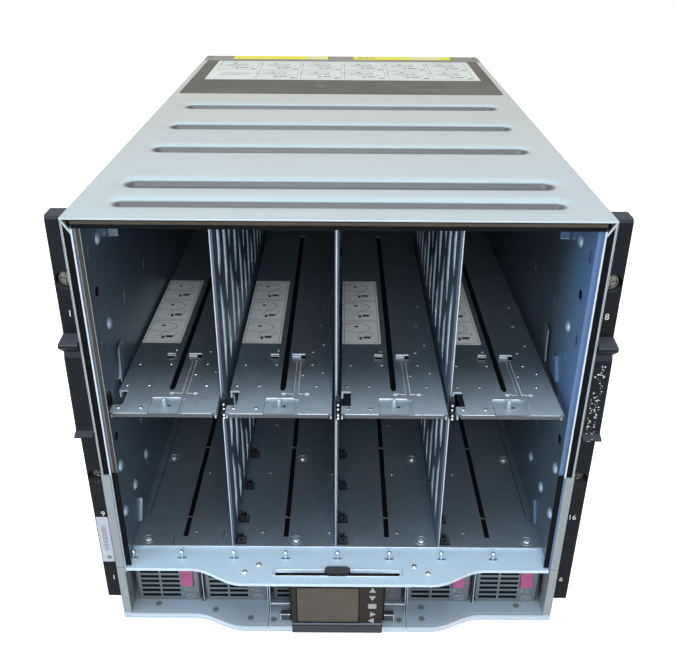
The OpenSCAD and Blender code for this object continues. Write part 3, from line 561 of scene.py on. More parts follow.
# Bare sheared metal, lighter than the sheet, which also serves as a painted highlight along rounded edges, creases,
# rims and flat marks.
BRIGHT = Finish("sheared_edge_highlight", (196, 206, 214), (168, 180, 189), rough=0.34, metallic=0.5,
                mottle_scale=40.0)
# Painted highlight: paler than the sheet, for the rolled slot rims and the stop tabs' bars.
RIM = Finish("pale_rim_highlight", (206, 214, 220), (186, 195, 202), rough=0.36, metallic=0.25, mottle_scale=40.0)
# Painted highlight: paler and bluer than the wall, so the dimples read as lit.
DIMPLE = Finish("pressed_dimple_highlight", (176, 196, 216), (150, 170, 188), rough=0.38, metallic=0.35, mottle_scale=60.0)
ROLLED = Finish("rolled_sheet_edge", (140, 152, 161), (118, 130, 139), rough=0.4, metallic=0.4, mottle_scale=40.0)
# Painted sheen: faces that look up are painted a lighter grey.
MOULDING = Finish("black_grained_moulding", (22, 25, 29), (30, 33, 37), rough=0.6, specular=0.08,
                  mottle_scale=16.0, grain_scale=1100.0, grain_depth=0.00006, scratches=0.12,
                  scratch_tint=(80, 83, 85), dust=0.08, dust_tint=(110, 112, 112),
                  patches=(Patch((("NZ", 0.5, 0.2),), (62, 65, 73)),))
CASE = Finish("display_case_moulding", (42, 38, 33), (35, 32, 28), rough=0.42, specular=0.1, mottle_scale=18.0,
              grain_scale=1800.0, dust=0.12)
GLASS = Finish("display_glass", (74, 68, 60), (82, 76, 68), rough=0.3, rough_swing=0.06, specular=0.15, coat=0.05,
               mottle_scale=26.0, mottle=0.8, dust=0.4, dust_tint=(150, 145, 135))
# Painted highlight: faces that look up are painted paler and bluer.
BAR = Finish("display_foot_moulding", (46, 51, 60), (38, 42, 50), rough=0.36, specular=0.2, mottle_scale=20.0,
             patches=(Patch((("NZ", 0.6, 0.3),), (112, 122, 138)),))
DULL_INK = Finish("dull_print", (152, 160, 166), (140, 148, 154), rough=0.6, mottle_scale=90.0)
KEYCAP = Finish("grey_rubber_key", (152, 155, 156), (136, 139, 140), rough=0.6, mottle_scale=50.0,
                grain_depth=0.00004)
BOARD = Finish("signal_board", (30, 52, 38), (22, 40, 30), rough=0.5, mottle_scale=80.0, dust=0.3)
MODULE = Finish("module_dark_grey", (56, 58, 61), (46, 48, 51), rough=0.48, metallic=0.2, dust=0.2)
FAN = Finish("fan_black_moulding", (27, 29, 31), (36, 38, 40), rough=0.5, specular=0.15, mottle_scale=20.0,
             dust=0.35)
SUPPLY = Finish("supply_blue_grey", (106, 117, 124), (90, 100, 106), rough=0.5, metallic=0.2, specular=0.25,
                mottle_scale=14.0, spangle=0.15, dust=0.25)
LATCH = Finish("port_red_touch_point", (158, 68, 120), (142, 58, 106), rough=0.4, mottle_scale=60.0,
               grain_depth=0.00003, dust=0.2, dust_tint=(205, 150, 180))
FOIL = Finish("dark_grey_foil", (86, 84, 77), (78, 77, 70), rough=0.6, specular=0.15, mottle_scale=10.0, dust=0.25,
              scratches=0.15)
PAPER = Finish("white_sheet_label", (210, 217, 210), (200, 207, 200), rough=0.5, mottle_scale=12.0)
PAPER_SHADE = Finish("shaded_drawing", (188, 194, 190), (178, 184, 180), rough=0.5, mottle_scale=60.0)
SHADE_PAPER = Finish("bay_label_paper", (238, 241, 240), (226, 229, 228), rough=0.5, mottle_scale=18.0)
INK = Finish("grey_print", (110, 112, 112), (96, 98, 98), rough=0.6, mottle_scale=90.0)
DARK_INK = Finish("dark_print", (48, 50, 54), (38, 40, 44), rough=0.6, mottle_scale=90.0)
WHITE_INK = Finish("white_print", (205, 208, 210), (188, 191, 193), rough=0.6, mottle_scale=90.0)
YELLOW = Finish("yellow_label", (232, 228, 14), (222, 216, 22), rough=0.5, specular=0.2, mottle_scale=20.0)
PALE_YELLOW = Finish("faded_label_end", (214, 216, 176), (204, 206, 168), rough=0.5, mottle_scale=20.0)
SCREW = Finish("dull_zinc_screw", (120, 121, 112), (100, 101, 93), rough=0.45, metallic=0.4, mottle_scale=90.0)
SKIN_EDGE = Finish("skin_sheared_edge", (96, 99, 99), (84, 87, 87), rough=0.5, specular=0.2, mottle_scale=60.0)
PALE_INK = Finish("pale_print", (176, 179, 178), (164, 167, 166), rough=0.6, mottle_scale=90.0)
GASKET = Finish("brown_grey_gasket", (72, 66, 58), (60, 55, 48), specular=0.1, rough=0.62, metallic=0.15,
                mottle_scale=70.0, grain_scale=700.0, grain_depth=0.0001, stretch=(1.0, 1.0, 0.4))
PALE_TAG = Finish("pale_grey_tag", (172, 178, 190), (160, 166, 178), rough=0.5, mottle_scale=30.0)
# Flat black that paints the shade in gaps, holes and slots.
BLACK_STEEL = Finish("black_shadow_gap", (12, 14, 16), (17, 19, 21), rough=0.7, specular=0.05, mottle_scale=30.0)
LAMP = Finish("unlit_indicator", (190, 186, 84), (176, 172, 78), rough=0.3, coat=0.4, mottle_scale=90.0)


# ---------------------------------------------------------------------------
# Making pieces
# ---------------------------------------------------------------------------


@dataclass(frozen=True)
class Datum:
    """Turns chassis millimetres into the row's metres."""

    front: float

    def at(self, x: float, y: float, z: float) -> Vector:
        """Gives a chassis point in metres."""
        return Vector((x * MM, self.front + y * MM, z * MM))

    def size(self, x: float, y: float, z: float) -> Vector:
        """Gives a chassis extent in metres."""
        return Vector((x, y, z)) * MM


@dataclass(frozen=True)
class Seat:
    """Where a new piece belongs: its material slot, its finish and the body that it rides on."""

    slot: Slot
    finish: Finish
    body: str = Body.ENCLOSURE


class Workbench:
    """Holds the frame, the finishes and the ways in which pieces are made and fixed."""

    def __init__(self, frame: dict[str, Any]) -> None:
        """Reads the datum from the frame and readies the effects.
        """
        self.frame = frame
        self.datum = Datum(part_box("side_panel_left")[0].y)
        self.effects = EffectShelf()
        self.trees = FieldTrees()
        self.materials: dict[str, bpy.types.Material] = {}

    def material(self, finish: Finish) -> bpy.types.Material:
        """Gives the material of a finish, building it on first use.

        Args:
            finish: The finish.

        Returns:
            Its material.
        """
        if finish.name not in self.materials:
            self.materials[finish.name] = finish.build(self.effects)
        return self.materials[finish.name]

    def dress(self, finish: Finish, *nodes: str) -> None:
        """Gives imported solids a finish.

        Args:
            finish: The finish.
            nodes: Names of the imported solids.
        """
        for node in nodes:
            solid = self.frame["nodes"][node]
            if not solid.material_slots:
                solid.data.materials.append(self.material(finish))
            for slot in solid.material_slots:
                slot.material = self.material(finish)

    def face(self, node: str, x: float, z: float) -> float:
        """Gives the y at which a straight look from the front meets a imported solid."""
        hit, place, _, _ = self.frame["nodes"][node].ray_cast(self.datum.at(x, -200, z), Vector((0.0, 1.0, 0.0)))
        return (place.y - self.datum.front) / MM if hit else 0.0

    def box(self, mesh: bmesh.types.BMesh, low: Point, high: Point) -> None:
        """Adds a block to a mesh.

        Args:
            mesh: Mesh that gets the block.
            low: Low chassis corner.
            high: High chassis corner.
        """
        a, b = self.datum.at(*low), self.datum.at(*high)
        verts = [mesh.verts.new((x, y, z)) for x in (a.x, b.x) for y in (a.y, b.y) for z in (a.z, b.z)]
        for face in ((0, 1, 3, 2), (4, 6, 7, 5), (0, 4, 5, 1), (2, 3, 7, 6), (0, 2, 6, 4), (1, 5, 7, 3)):
            mesh.faces.new([verts[i] for i in face])

    def prism(self, mesh: bmesh.types.BMesh, outline: Sequence[Point], push: Point) -> None:
        """Adds a flat outline pushed along a vector to a mesh.

        Args:
            mesh: Mesh that gets the prism.
            outline: Chassis points of the flat outline, in order.
            push: Chassis vector from the outline to its far copy.
        """
        near = [mesh.verts.new(self.datum.at(*p)) for p in outline]
        shift = self.datum.size(*push)
        far = [mesh.verts.new(v.co + shift) for v in near]
        mesh.faces.new(near)
        mesh.faces.new(list(reversed(far)))
        for i in range(len(outline)):
            j = (i + 1) % len(outline)
            mesh.faces.new([near[i], far[i], far[j], near[j]])

    def finish_mesh(self, name: str, mesh: bmesh.types.BMesh) -> bpy.types.Object:
        """Turns a built mesh into an object at the origin, with its faces outwards.

        Args:
            name: Name of the piece.
            mesh: The built mesh, which is freed.

        Returns:
            The object.
        """
        bmesh.ops.recalc_face_normals(mesh, faces=mesh.faces)
        data = bpy.data.meshes.new(name)
        mesh.to_mesh(data)
        mesh.free()
        return link(name, data)

    def fix(self, thing: bpy.types.Object, seat: Seat, bevel: float = 0.0, coated: bool = False) -> bpy.types.Object:
        """Gives a piece its finish, its bevel and the body that it rides on.

        Args:
            thing: The new piece.
            seat: Where it belongs.
            bevel: Width of the rounded edges in millimetres, 0 for none.
            coated: Whether the mesh already has its material.

        Returns:
            The same piece.
        """
        if not coated:
            thing.data.materials.clear()
            thing.data.materials.append(self.material(seat.finish))
        if bevel:
            soften = thing.modifiers.new("soften", "BEVEL")
            soften.width = bevel * MM
            soften.segments = 2
            soften.limit_method = "ANGLE"
        body = seat.body.value if isinstance(seat.body, Body) else seat.body
        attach(thing, body)
        LOG.info("piece %s on %s", thing.name, body)
        return thing

    def blocks(self, name: str, spans: Iterable[Sequence[Point]], seat: Seat,
               bevel: float = 0.2) -> bpy.types.Object:
        """Makes one piece of softened blocks.

        Args:
            name: Name of the piece.
            spans: Low and high chassis corners of each block.
            seat: Where it belongs.
            bevel: Width of the rounded edges in millimetres.

        Returns:
            The piece.
        """
        mesh = bmesh.new()
        for low, high in spans:
            self.box(mesh, low, high)
        return self.fix(self.finish_mesh(name, mesh), seat, bevel)

    def plate(self, name: str, low: Point, high: Point, radius: float, seat: Seat,
              bevel: float = 0.05) -> bpy.types.Object:
        """Makes a flat plate with rounded corners, lying in X and Y.

        Args:
            name: Name of the piece.
            low: Low chassis corner.
            high: High chassis corner.
            radius: Radius of its corners in millimetres.
            seat: Where it belongs.
            bevel: Width of the softened edges in millimetres.

        Returns:
            The piece.
        """
        mesh = bmesh.new()
        self.prism(mesh, rounded(low, high, radius), (0, 0, high[2] - low[2]))
        return self.fix(self.finish_mesh(name, mesh), seat, bevel)

    @staticmethod
    def _settle(name: str, holder: bpy.types.Object) -> bpy.types.Mesh:
        """Turns what an object evaluates to into a plain mesh, and removes the object.

        Args:
            name: Name of the mesh.
            holder: The object.

        Returns:
            The mesh.
        """
        graph = bpy.context.evaluated_depsgraph_get()
        made = bpy.data.meshes.new_from_object(holder.evaluated_get(graph), depsgraph=graph)
        holder.modifiers.clear()
        bpy.data.objects.remove(holder)
        made.name = name
        return made

    def grow(self, name: str, tree: bpy.types.NodeTree, seed: bmesh.types.BMesh, values: dict[str, Any],
             seat: Seat) -> bpy.types.Object:
        """Runs a geometry tree on a seed mesh and keeps what it makes as a plain mesh.

        Args:
            name: Name of the piece.
            tree: The geometry tree.
            seed: Mesh that the tree starts from, which is freed.
            values: Value of each named input, apart from the finish.
            seat: Where it belongs.

        Returns:
            The piece.
        """
        data = bpy.data.meshes.new(name + "_seed")
        seed.to_mesh(data)
        seed.free()
        holder = link(name + "_seed", data)
        modifier = holder.modifiers.new("grow", "NODES")
        modifier.node_group = tree
        values = {**values, "Finish": self.material(seat.finish)}
        for item in tree.interface.items_tree:
            if item.item_type == "SOCKET" and item.in_out == "INPUT" and item.name in values:
                modifier[item.identifier] = values[item.name]
        return self.fix(link(name, self._settle(name, holder)), seat, coated=True)

    def points(self, spots: Iterable[Point]) -> bmesh.types.BMesh:
        """Makes a seed mesh with a vertex at each point.

        Args:
            spots: The chassis points.

        Returns:
            The seed mesh.
        """
        seed = bmesh.new()
        for point in spots:
            seed.verts.new(self.datum.at(*point))
        return seed

    def facing_points(self, spots: Sequence[Stud], sizes: Sequence[float] | None) -> bmesh.types.BMesh:
        """Makes a seed mesh whose vertices know their facing and relative size.

        Args:
            spots: Chassis point and facing of each vertex.
            sizes: Relative size of each, or None for all the same.

        Returns:
            The seed mesh.
        """
        seed = bmesh.new()
        facing = seed.verts.layers.float_vector.new("facing")
        scale = seed.verts.layers.float.new("size")
        for number, (point, way) in enumerate(spots):
            vert = seed.verts.new(self.datum.at(*point))
            vert[facing] = Vector(way)
            vert[scale] = sizes[number] if sizes else 1.0
        return seed

    def studs(self, name: str, spots: Sequence[Stud], radius: float, height: float, seat: Seat, crown: float = 0.6,
              sides: int = 14, sizes: Sequence[float] | None = None) -> bpy.types.Object:
        """Makes rivets, screw heads or pressed dimples with the stud tree.

        Args:
            name: Name of the piece.
            spots: Chassis point and facing of each stud.
            radius: Radius at the foot in millimetres.
            height: Height in millimetres.
            seat: Where they belong.
            crown: Share of the radius that the flat top keeps.
            sides: Number of sides.
            sizes: Relative size of each stud, or None for all the same.

        Returns:
            The piece.
        """
        return self.grow(name, self.trees.studs, self.facing_points(spots, sizes),
                         {"Radius": radius * MM, "Height": height * MM, "Crown": crown, "Sides": sides}, seat)

    def rings(self, name: str, spots: Sequence[Stud], radius: float, wire: float, seat: Seat) -> bpy.types.Object:
        """Makes thin pressed rings, sizes in millimetres, with the ring tree."""
        return self.grow(name, self.trees.rings, self.facing_points(spots, None),
                         {"Radius": radius * MM, "Wire": wire * MM}, seat)

    def beads(self, name: str, lines: Iterable[Sequence[Point]], wire: float, seat: Seat, closed: bool = False,
              sides: int = 6) -> bpy.types.Object:
        """Makes thin rolled edges along lines with the edge tree.

        Args:
            name: Name of the piece.
            lines: Chassis points of each line.
            wire: Radius of the edge's rounded section in millimetres.
            seat: Where they belong.
            closed: Whether each line ends where it starts.
            sides: Number of sides of the section.

        Returns:
            The piece.
        """
        seed = bmesh.new()
        for line in lines:
            verts = [seed.verts.new(self.datum.at(*p)) for p in line]
            for pair in zip(verts, verts[1:]):
                seed.edges.new(pair)
            if closed:
                seed.edges.new((verts[-1], verts[0]))
        return self.grow(name, self.trees.edges, seed, {"Wire": wire * MM, "Sides": sides}, seat)

    def bars(self, name: str, spots: Sequence[Point], size: Point, seat: Seat) -> bpy.types.Object:
        """Makes equal small bars about their chassis centres, size in millimetres, with the bar tree."""
        return self.grow(name, self.trees.bars, self.points(spots), {"Size": self.datum.size(*size)}, seat)

    def pictures(self, name: str, spots: Sequence[Point], size: tuple[float, float], seat: Seat,
                 stroke: float) -> bpy.types.Object:
        """Prints rows of plain framed drawings with the picture tree, lying in X and Y.

        Args:
            name: Name of the piece.
            spots: Chassis centre of each frame.
            size: Width and depth of a frame in millimetres.
            seat: Where they belong.
            stroke: Width of the drawn lines in millimetres.

        Returns:
            The piece.
        """
        return self.grow(name, self.trees.pictures, self.points(spots),
                         {"Width": size[0] * MM, "Depth": size[1] * MM, "Stroke": stroke * MM}, seat)

    def numeral(self, name: str, text: str, point: Point, height: float, turn: Matrix, seat: Seat,
                depth: float = 0.12) -> bpy.types.Object:
        """Prints a plain number.

        Args:
            name: Name of the piece.
            text: The number.
            point: Chassis point of its centre.
            height: Height of its figures in millimetres.
            turn: Rotation from the X-Y plane to the face.
            seat: Where it belongs.
            depth: Thickness in millimetres.

        Returns:
            The piece.
        """
        curve = bpy.data.curves.new(name, "FONT")
        curve.body = text
        curve.align_x = "CENTER"
        curve.align_y = "CENTER"
        curve.size = height * MM * 1.4
        curve.extrude = depth * MM
        curve.resolution_u = 3
        data = self._settle(name, link(name + "_curve", curve))
        data.transform(Matrix.Translation(self.datum.at(*point)) @ turn)
        return self.fix(link(name, data), seat)


def rounded(low: Point, high: Point, radius: float, steps: int = 5) -> list[Point]:
    """Gives the outline of a rectangle with rounded corners at the low Z.

    Args:
        low: Low corner.
        high: High corner.
        radius: Corner radius.
        steps: Points of each corner's arc, less one.

    Returns:
        The outline's points.
    """
    outline = []
    corners = ((high[0] - radius, high[1] - radius, 0), (low[0] + radius, high[1] - radius, 90),
               (low[0] + radius, low[1] + radius, 180), (high[0] - radius, low[1] + radius, 270))
    for x, y, start in corners:
        for i in range(steps + 1):
            angle = math.radians(start + 90 * i / steps)
            outline.append((x + radius * math.cos(angle), y + radius * math.sin(angle), low[2]))
    return outline


class FieldTrees:
    """Geometry node trees for what repeats: studs, rings, rolled edges, bars and framed drawings."""

    def __init__(self) -> None:
        """Builds every tree."""
        self.studs = self._studs()
        self.rings = self._rings()
        self.edges = self._edges()
        self.bars = self._bars()
        self.pictures = self._pictures()

    @staticmethod
    def _open(name: str, inputs: Sequence[tuple[str, Socket, Any]]) -> tuple[NodeSheet, Any]:
        """Starts a tree with a geometry socket each way and named inputs.

        Args:
            name: Name of the tree.
            inputs: Name, kind and default of each input.

        Returns:
            The sheet and the tree's given values.
        """
        sheet = NodeSheet(bpy.data.node_groups.new(name, "GeometryNodeTree"))
        sheet.socket("Geometry", Socket.SHAPE, "INPUT")
        for label, kind, default in inputs:
            sheet.socket(label, kind, "INPUT", default)
        sheet.socket("Finish", Socket.FINISH, "INPUT")
        sheet.socket("Geometry", Socket.SHAPE, "OUTPUT")
        return sheet, sheet.add("NodeGroupInput").outputs

    @staticmethod
    def _close(sheet: NodeSheet, given: Any, shape: bpy.types.NodeSocket) -> bpy.types.NodeTree:
        """Realizes what a tree made and sets its material.

        Args:
            sheet: Sheet of the tree.
            given: The tree's given values.
            shape: What the tree made.

        Returns:
            The tree.
        """
        real = sheet.add("GeometryNodeRealizeInstances", {0: shape})
        coat = sheet.add("GeometryNodeSetMaterial", {"Geometry": real.outputs[0], "Material": given["Finish"]})
        sheet.add("NodeGroupOutput", {0: coat.outputs[0]})
        return sheet.tree

    @staticmethod
    def _read(sheet: NodeSheet, name: str, kind: str) -> bpy.types.NodeSocket:
        """Reads a named attribute of the seed's vertices."""
        return sheet.add("GeometryNodeInputNamedAttribute", {"Name": name}, data_type=kind).outputs["Attribute"]

    def _facing(self, sheet: NodeSheet) -> bpy.types.NodeSocket:
        """Reads the facing of each vertex as a rotation."""
        way = self._read(sheet, "facing", "FLOAT_VECTOR")
        return sheet.add("FunctionNodeAlignRotationToVector", {"Vector": way}, axis="Z").outputs[0]

    @staticmethod
    def _scatter(sheet: NodeSheet, given: Any, shape: bpy.types.NodeSocket, **how: Any) -> bpy.types.NodeSocket:
        """Puts an instance of a shape on each vertex of the seed mesh, turned and scaled as said."""
        return sheet.add("GeometryNodeInstanceOnPoints",
                         {"Points": given["Geometry"], "Instance": shape, **how}).outputs[0]

    @staticmethod
    def _join(sheet: NodeSheet, shapes: Iterable[bpy.types.NodeSocket]) -> bpy.types.NodeSocket:
        """Joins shapes into one.

        Args:
            sheet: Sheet of the tree.
            shapes: The shapes.

        Returns:
            The joined shape.
        """
        join = sheet.add("GeometryNodeJoinGeometry")
        for shape in shapes:
            sheet.feed(join.inputs[0], shape)
        return join.outputs[0]

    @staticmethod
    def _circle(sheet: NodeSheet, radius: Any, points: Any) -> bpy.types.NodeSocket:
        """Draws a circle of a number of points."""
        return sheet.add("GeometryNodeCurvePrimitiveCircle", {"Resolution": points, "Radius": radius}).outputs[0]

    @staticmethod
    def _sweep(sheet: NodeSheet, path: Any, section: Any, capped: bool = False) -> bpy.types.NodeSocket:
        """Sweeps a section along a path, with its open ends closed or not."""
        return sheet.add("GeometryNodeCurveToMesh",
                         {"Curve": path, "Profile Curve": section, "Fill Caps": capped}).outputs[0]

    def _studs(self) -> bpy.types.NodeTree:
        """Writes low studs with a sloped flank, a rounded shoulder and a flat crown.

        Returns:
            The tree.
        """
        sheet, given = self._open("stud_field", [
            ("Radius", Socket.NUMBER, 0.002), ("Height", Socket.NUMBER, 0.001), ("Crown", Socket.NUMBER, 0.6),
            ("Sides", Socket.COUNT, 14)])
        shoulder = sheet.math("MULTIPLY", given["Radius"], sheet.math("MULTIPLY_ADD", given["Crown"], 0.45, 0.55))
        rise = sheet.math("MULTIPLY", given["Height"], 0.72)
        flank = sheet.add("GeometryNodeMeshCone", {
            "Vertices": given["Sides"], "Radius Bottom": given["Radius"], "Radius Top": shoulder, "Depth": rise})
        crown = sheet.add("GeometryNodeMeshCone", {
            "Vertices": given["Sides"], "Radius Bottom": shoulder,
            "Radius Top": sheet.math("MULTIPLY", given["Radius"], given["Crown"]),
            "Depth": sheet.math("MULTIPLY", given["Height"], 0.28)})
        offset = sheet.add("ShaderNodeCombineXYZ", {"Z": rise}).outputs[0]
        lift = sheet.add("GeometryNodeTransform", {"Geometry": crown.outputs["Mesh"], "Translation": offset})
        size = self._read(sheet, "size", "FLOAT")
        stud = self._join(sheet, (flank.outputs["Mesh"], lift.outputs[0]))
        return self._close(sheet, given, self._scatter(
            sheet, given, stud, Rotation=self._facing(sheet),
            Scale=sheet.add("ShaderNodeCombineXYZ", {0: size, 1: size, 2: size}).outputs[0]))

    def _rings(self) -> bpy.types.NodeTree:
        """Writes closed rings with a round section.

        Returns:
            The tree.
        """
        sheet, given = self._open("ring_field", [
            ("Radius", Socket.NUMBER, 0.005), ("Wire", Socket.NUMBER, 0.0006)])
        ring = self._sweep(sheet, self._circle(sheet, given["Radius"], 24), self._circle(sheet, given["Wire"], 6))
        return self._close(sheet, given, self._scatter(sheet, given, ring, Rotation=self._facing(sheet)))

    def _edges(self) -> bpy.types.NodeTree:
        """Writes round sections swept along the seed's edges.

        Returns:
            The tree.
        """
        sheet, given = self._open("rolled_edges", [("Wire", Socket.NUMBER, 0.0006), ("Sides", Socket.COUNT, 6)])
        path = sheet.add("GeometryNodeMeshToCurve", {"Mesh": given["Geometry"]}).outputs[0]
        section = self._circle(sheet, given["Wire"], given["Sides"])
        return self._close(sheet, given, self._sweep(sheet, path, section, True))

    def _bars(self) -> bpy.types.NodeTree:
        """Writes equal bars, one on each vertex.

        Returns:
            The tree.
        """
        sheet, given = self._open("bar_row", [("Size", Socket.VECTOR, (0.001, 0.001, 0.001))])
        bar = sheet.add("GeometryNodeMeshCube", {"Size": given["Size"]}).outputs["Mesh"]
        return self._close(sheet, given, self._scatter(sheet, given, bar))

    def _stroke(self, sheet: NodeSheet, given: Any, curve: bpy.types.NodeSocket) -> bpy.types.NodeSocket:
        """Draws a curve as a flat printed line."""
        section = sheet.add("GeometryNodeCurvePrimitiveQuadrilateral", {"Width": given["Stroke"], "Height": 0.00005})
        return self._sweep(sheet, curve, section.outputs[0])

    @staticmethod
    def _shares(sheet: NodeSheet, given: Any, share: tuple[float, float], rise: float = 0.0) -> bpy.types.NodeSocket:
        """Gives a vector of shares of the frame's width and depth."""
        return sheet.add("ShaderNodeCombineXYZ", {
            "X": sheet.math("MULTIPLY", given["Width"], share[0]),
            "Y": sheet.math("MULTIPLY", given["Depth"], share[1]), "Z": rise}).outputs[0]

    def _part(self, sheet: NodeSheet, given: Any, shape: bpy.types.NodeSocket, shift: tuple[float, float],
              stretch: Point = (1.0, 1.0, 1.0)) -> bpy.types.NodeSocket:
        """Moves a drawn shape by shares of the frame's width and depth, and stretches it."""
        return sheet.add("GeometryNodeTransform", {
            "Geometry": shape, "Translation": self._shares(sheet, given, shift), "Scale": stretch}).outputs[0]

    def _block(self, sheet: NodeSheet, given: Any, share: tuple[float, float],
               shift: tuple[float, float]) -> bpy.types.NodeSocket:
        """Prints a solid block of a share of the frame, moved by further shares."""
        block = sheet.add("GeometryNodeMeshCube", {"Size": self._shares(sheet, given, share, 0.00006)})
        return self._part(sheet, given, block.outputs["Mesh"], shift)

    def _pictures(self) -> bpy.types.NodeTree:
        """Writes framed drawings: an oval with a mark, a slanted plate and short blocks.

        Returns:
            The tree.
        """
        sheet, given = self._open("framed_drawings", [
            ("Width", Socket.NUMBER, 0.03), ("Depth", Socket.NUMBER, 0.03), ("Stroke", Socket.NUMBER, 0.0005)])

        def of(name: str, share: float) -> bpy.types.NodeSocket:
            """Gives a share of a given size."""
            return sheet.math("MULTIPLY", given[name], share)

        frame = sheet.add("GeometryNodeCurvePrimitiveQuadrilateral",
                          {"Width": given["Width"], "Height": given["Depth"]}).outputs[0]
        oval = self._part(sheet, given, self._circle(sheet, of("Depth", 0.22), 20), (-0.17, 0.2), (1.5, 1.0, 1.0))
        plate = sheet.add("GeometryNodeCurvePrimitiveQuadrilateral", {
            "Width": of("Width", 0.42), "Height": of("Depth", 0.2), "Offset": of("Width", 0.12)},
            mode="PARALLELOGRAM").outputs[0]
        return self._close(sheet, given, self._scatter(sheet, given, self._join(sheet, (
            self._stroke(sheet, given, frame), self._stroke(sheet, given, oval),
            self._stroke(sheet, given, self._part(sheet, given, plate, (0.12, -0.14))),
            self._block(sheet, given, (0.1, 0.08), (-0.14, 0.26)),
            self._block(sheet, given, (0.2, 0.1), (0.16, -0.26)),
            self._block(sheet, given, (0.08, 0.12), (-0.02, -0.3))))))


# ---------------------------------------------------------------------------
# Sub-assemblies
# ---------------------------------------------------------------------------

LEFT_RIGHT = (-1, 1)
SIDES = ("left", "right")
UP: Point = (0.0, 0.0, 1.0)
FORWARD: Point = (0.0, -1.0, 0.0)
BACKWARD: Point = (0.0, 1.0, 0.0)
PRINT_T = 0.1
FILM_T = 0.12


def lip_front(x: float, reach: float, inner: float = 95.0, outer: float = 150.0) -> float:
    """Gives the front edge of a curved lip at x, as the solids have it.

    Args:
        x: Distance from the middle.
        reach: Forward reach of the lip's middle.
        inner: Half width of the flat middle.
        outer: Half width at which the straight ends begin.

    Returns:
        The y of the edge.
    """
    if abs(x) >= outer:
        return 0.0
    if abs(x) <= inner:
        return -reach
    return -reach * (1 + math.cos(math.pi * (abs(x) - inner) / (outer - inner))) / 2


def lip_line(start: float, end: float, reach: float, inset: float, height: float, steps: int = 60) -> list[Point]:
    """Gives points along a curved lip, a little behind its front edge.

    Args:
        start: x of the first point.
        end: x of the last point.
        reach: Forward reach of the lip's middle.
        inset: How far the line lies behind the edge.
        height: z of the line.
        steps: Number of its pieces.

    Returns:
        The line's points.
    """
    xs = [start + (end - start) * i / steps for i in range(steps + 1)]
    return [(x, lip_front(x, reach) + inset, height) for x in xs]


def shifted(points: Iterable[Point], x: float = 0.0, z: float = 0.0) -> list[Point]:
    """Moves chassis points sideways and up."""
    return [(px + x, py, pz + z) for px, py, pz in points]


def mirrored(near: float, far: float) -> list[tuple[float, float]]:
    """Gives the low and high x of a span on the left and of its mirror on the right."""
    return [(min(s * near, s * far), max(s * near, s * far)) for s in LEFT_RIGHT]


@dataclass
class Zones:
    """Layout of the four blade zones that dividers, shelves and deck share."""

    bay_x: float = 214.4
    pitch: float = 107.0
    shift: float = 2.0
    divider_t: float = 3.0
    divider_y: float = 33.0
    shelf_w: float = 98.0
    shelf_inset: float = 3.5
    deck_z: float = 72.0
    shelf_z: float = 251.0
    roof_z: float = 433.0
    dividers: tuple[int, ...] = (1, 2, 3)
    count: int = 4

    def divider(self, number: int) -> float:
        """Gives the x of a divider, 1 to 3."""
        return (number - 2) * self.pitch - self.shift

    def left(self, zone: int) -> float:
        """Gives the left side of a zone's clear width, 0 to 3."""
        return -self.bay_x if zone == 0 else self.divider(zone) + self.divider_t / 2

    def shelf(self, zone: int) -> float:
        """Gives the x of a shelf's middle, 0 to 3."""
        return self.left(zone) + self.shelf_inset + self.shelf_w / 2


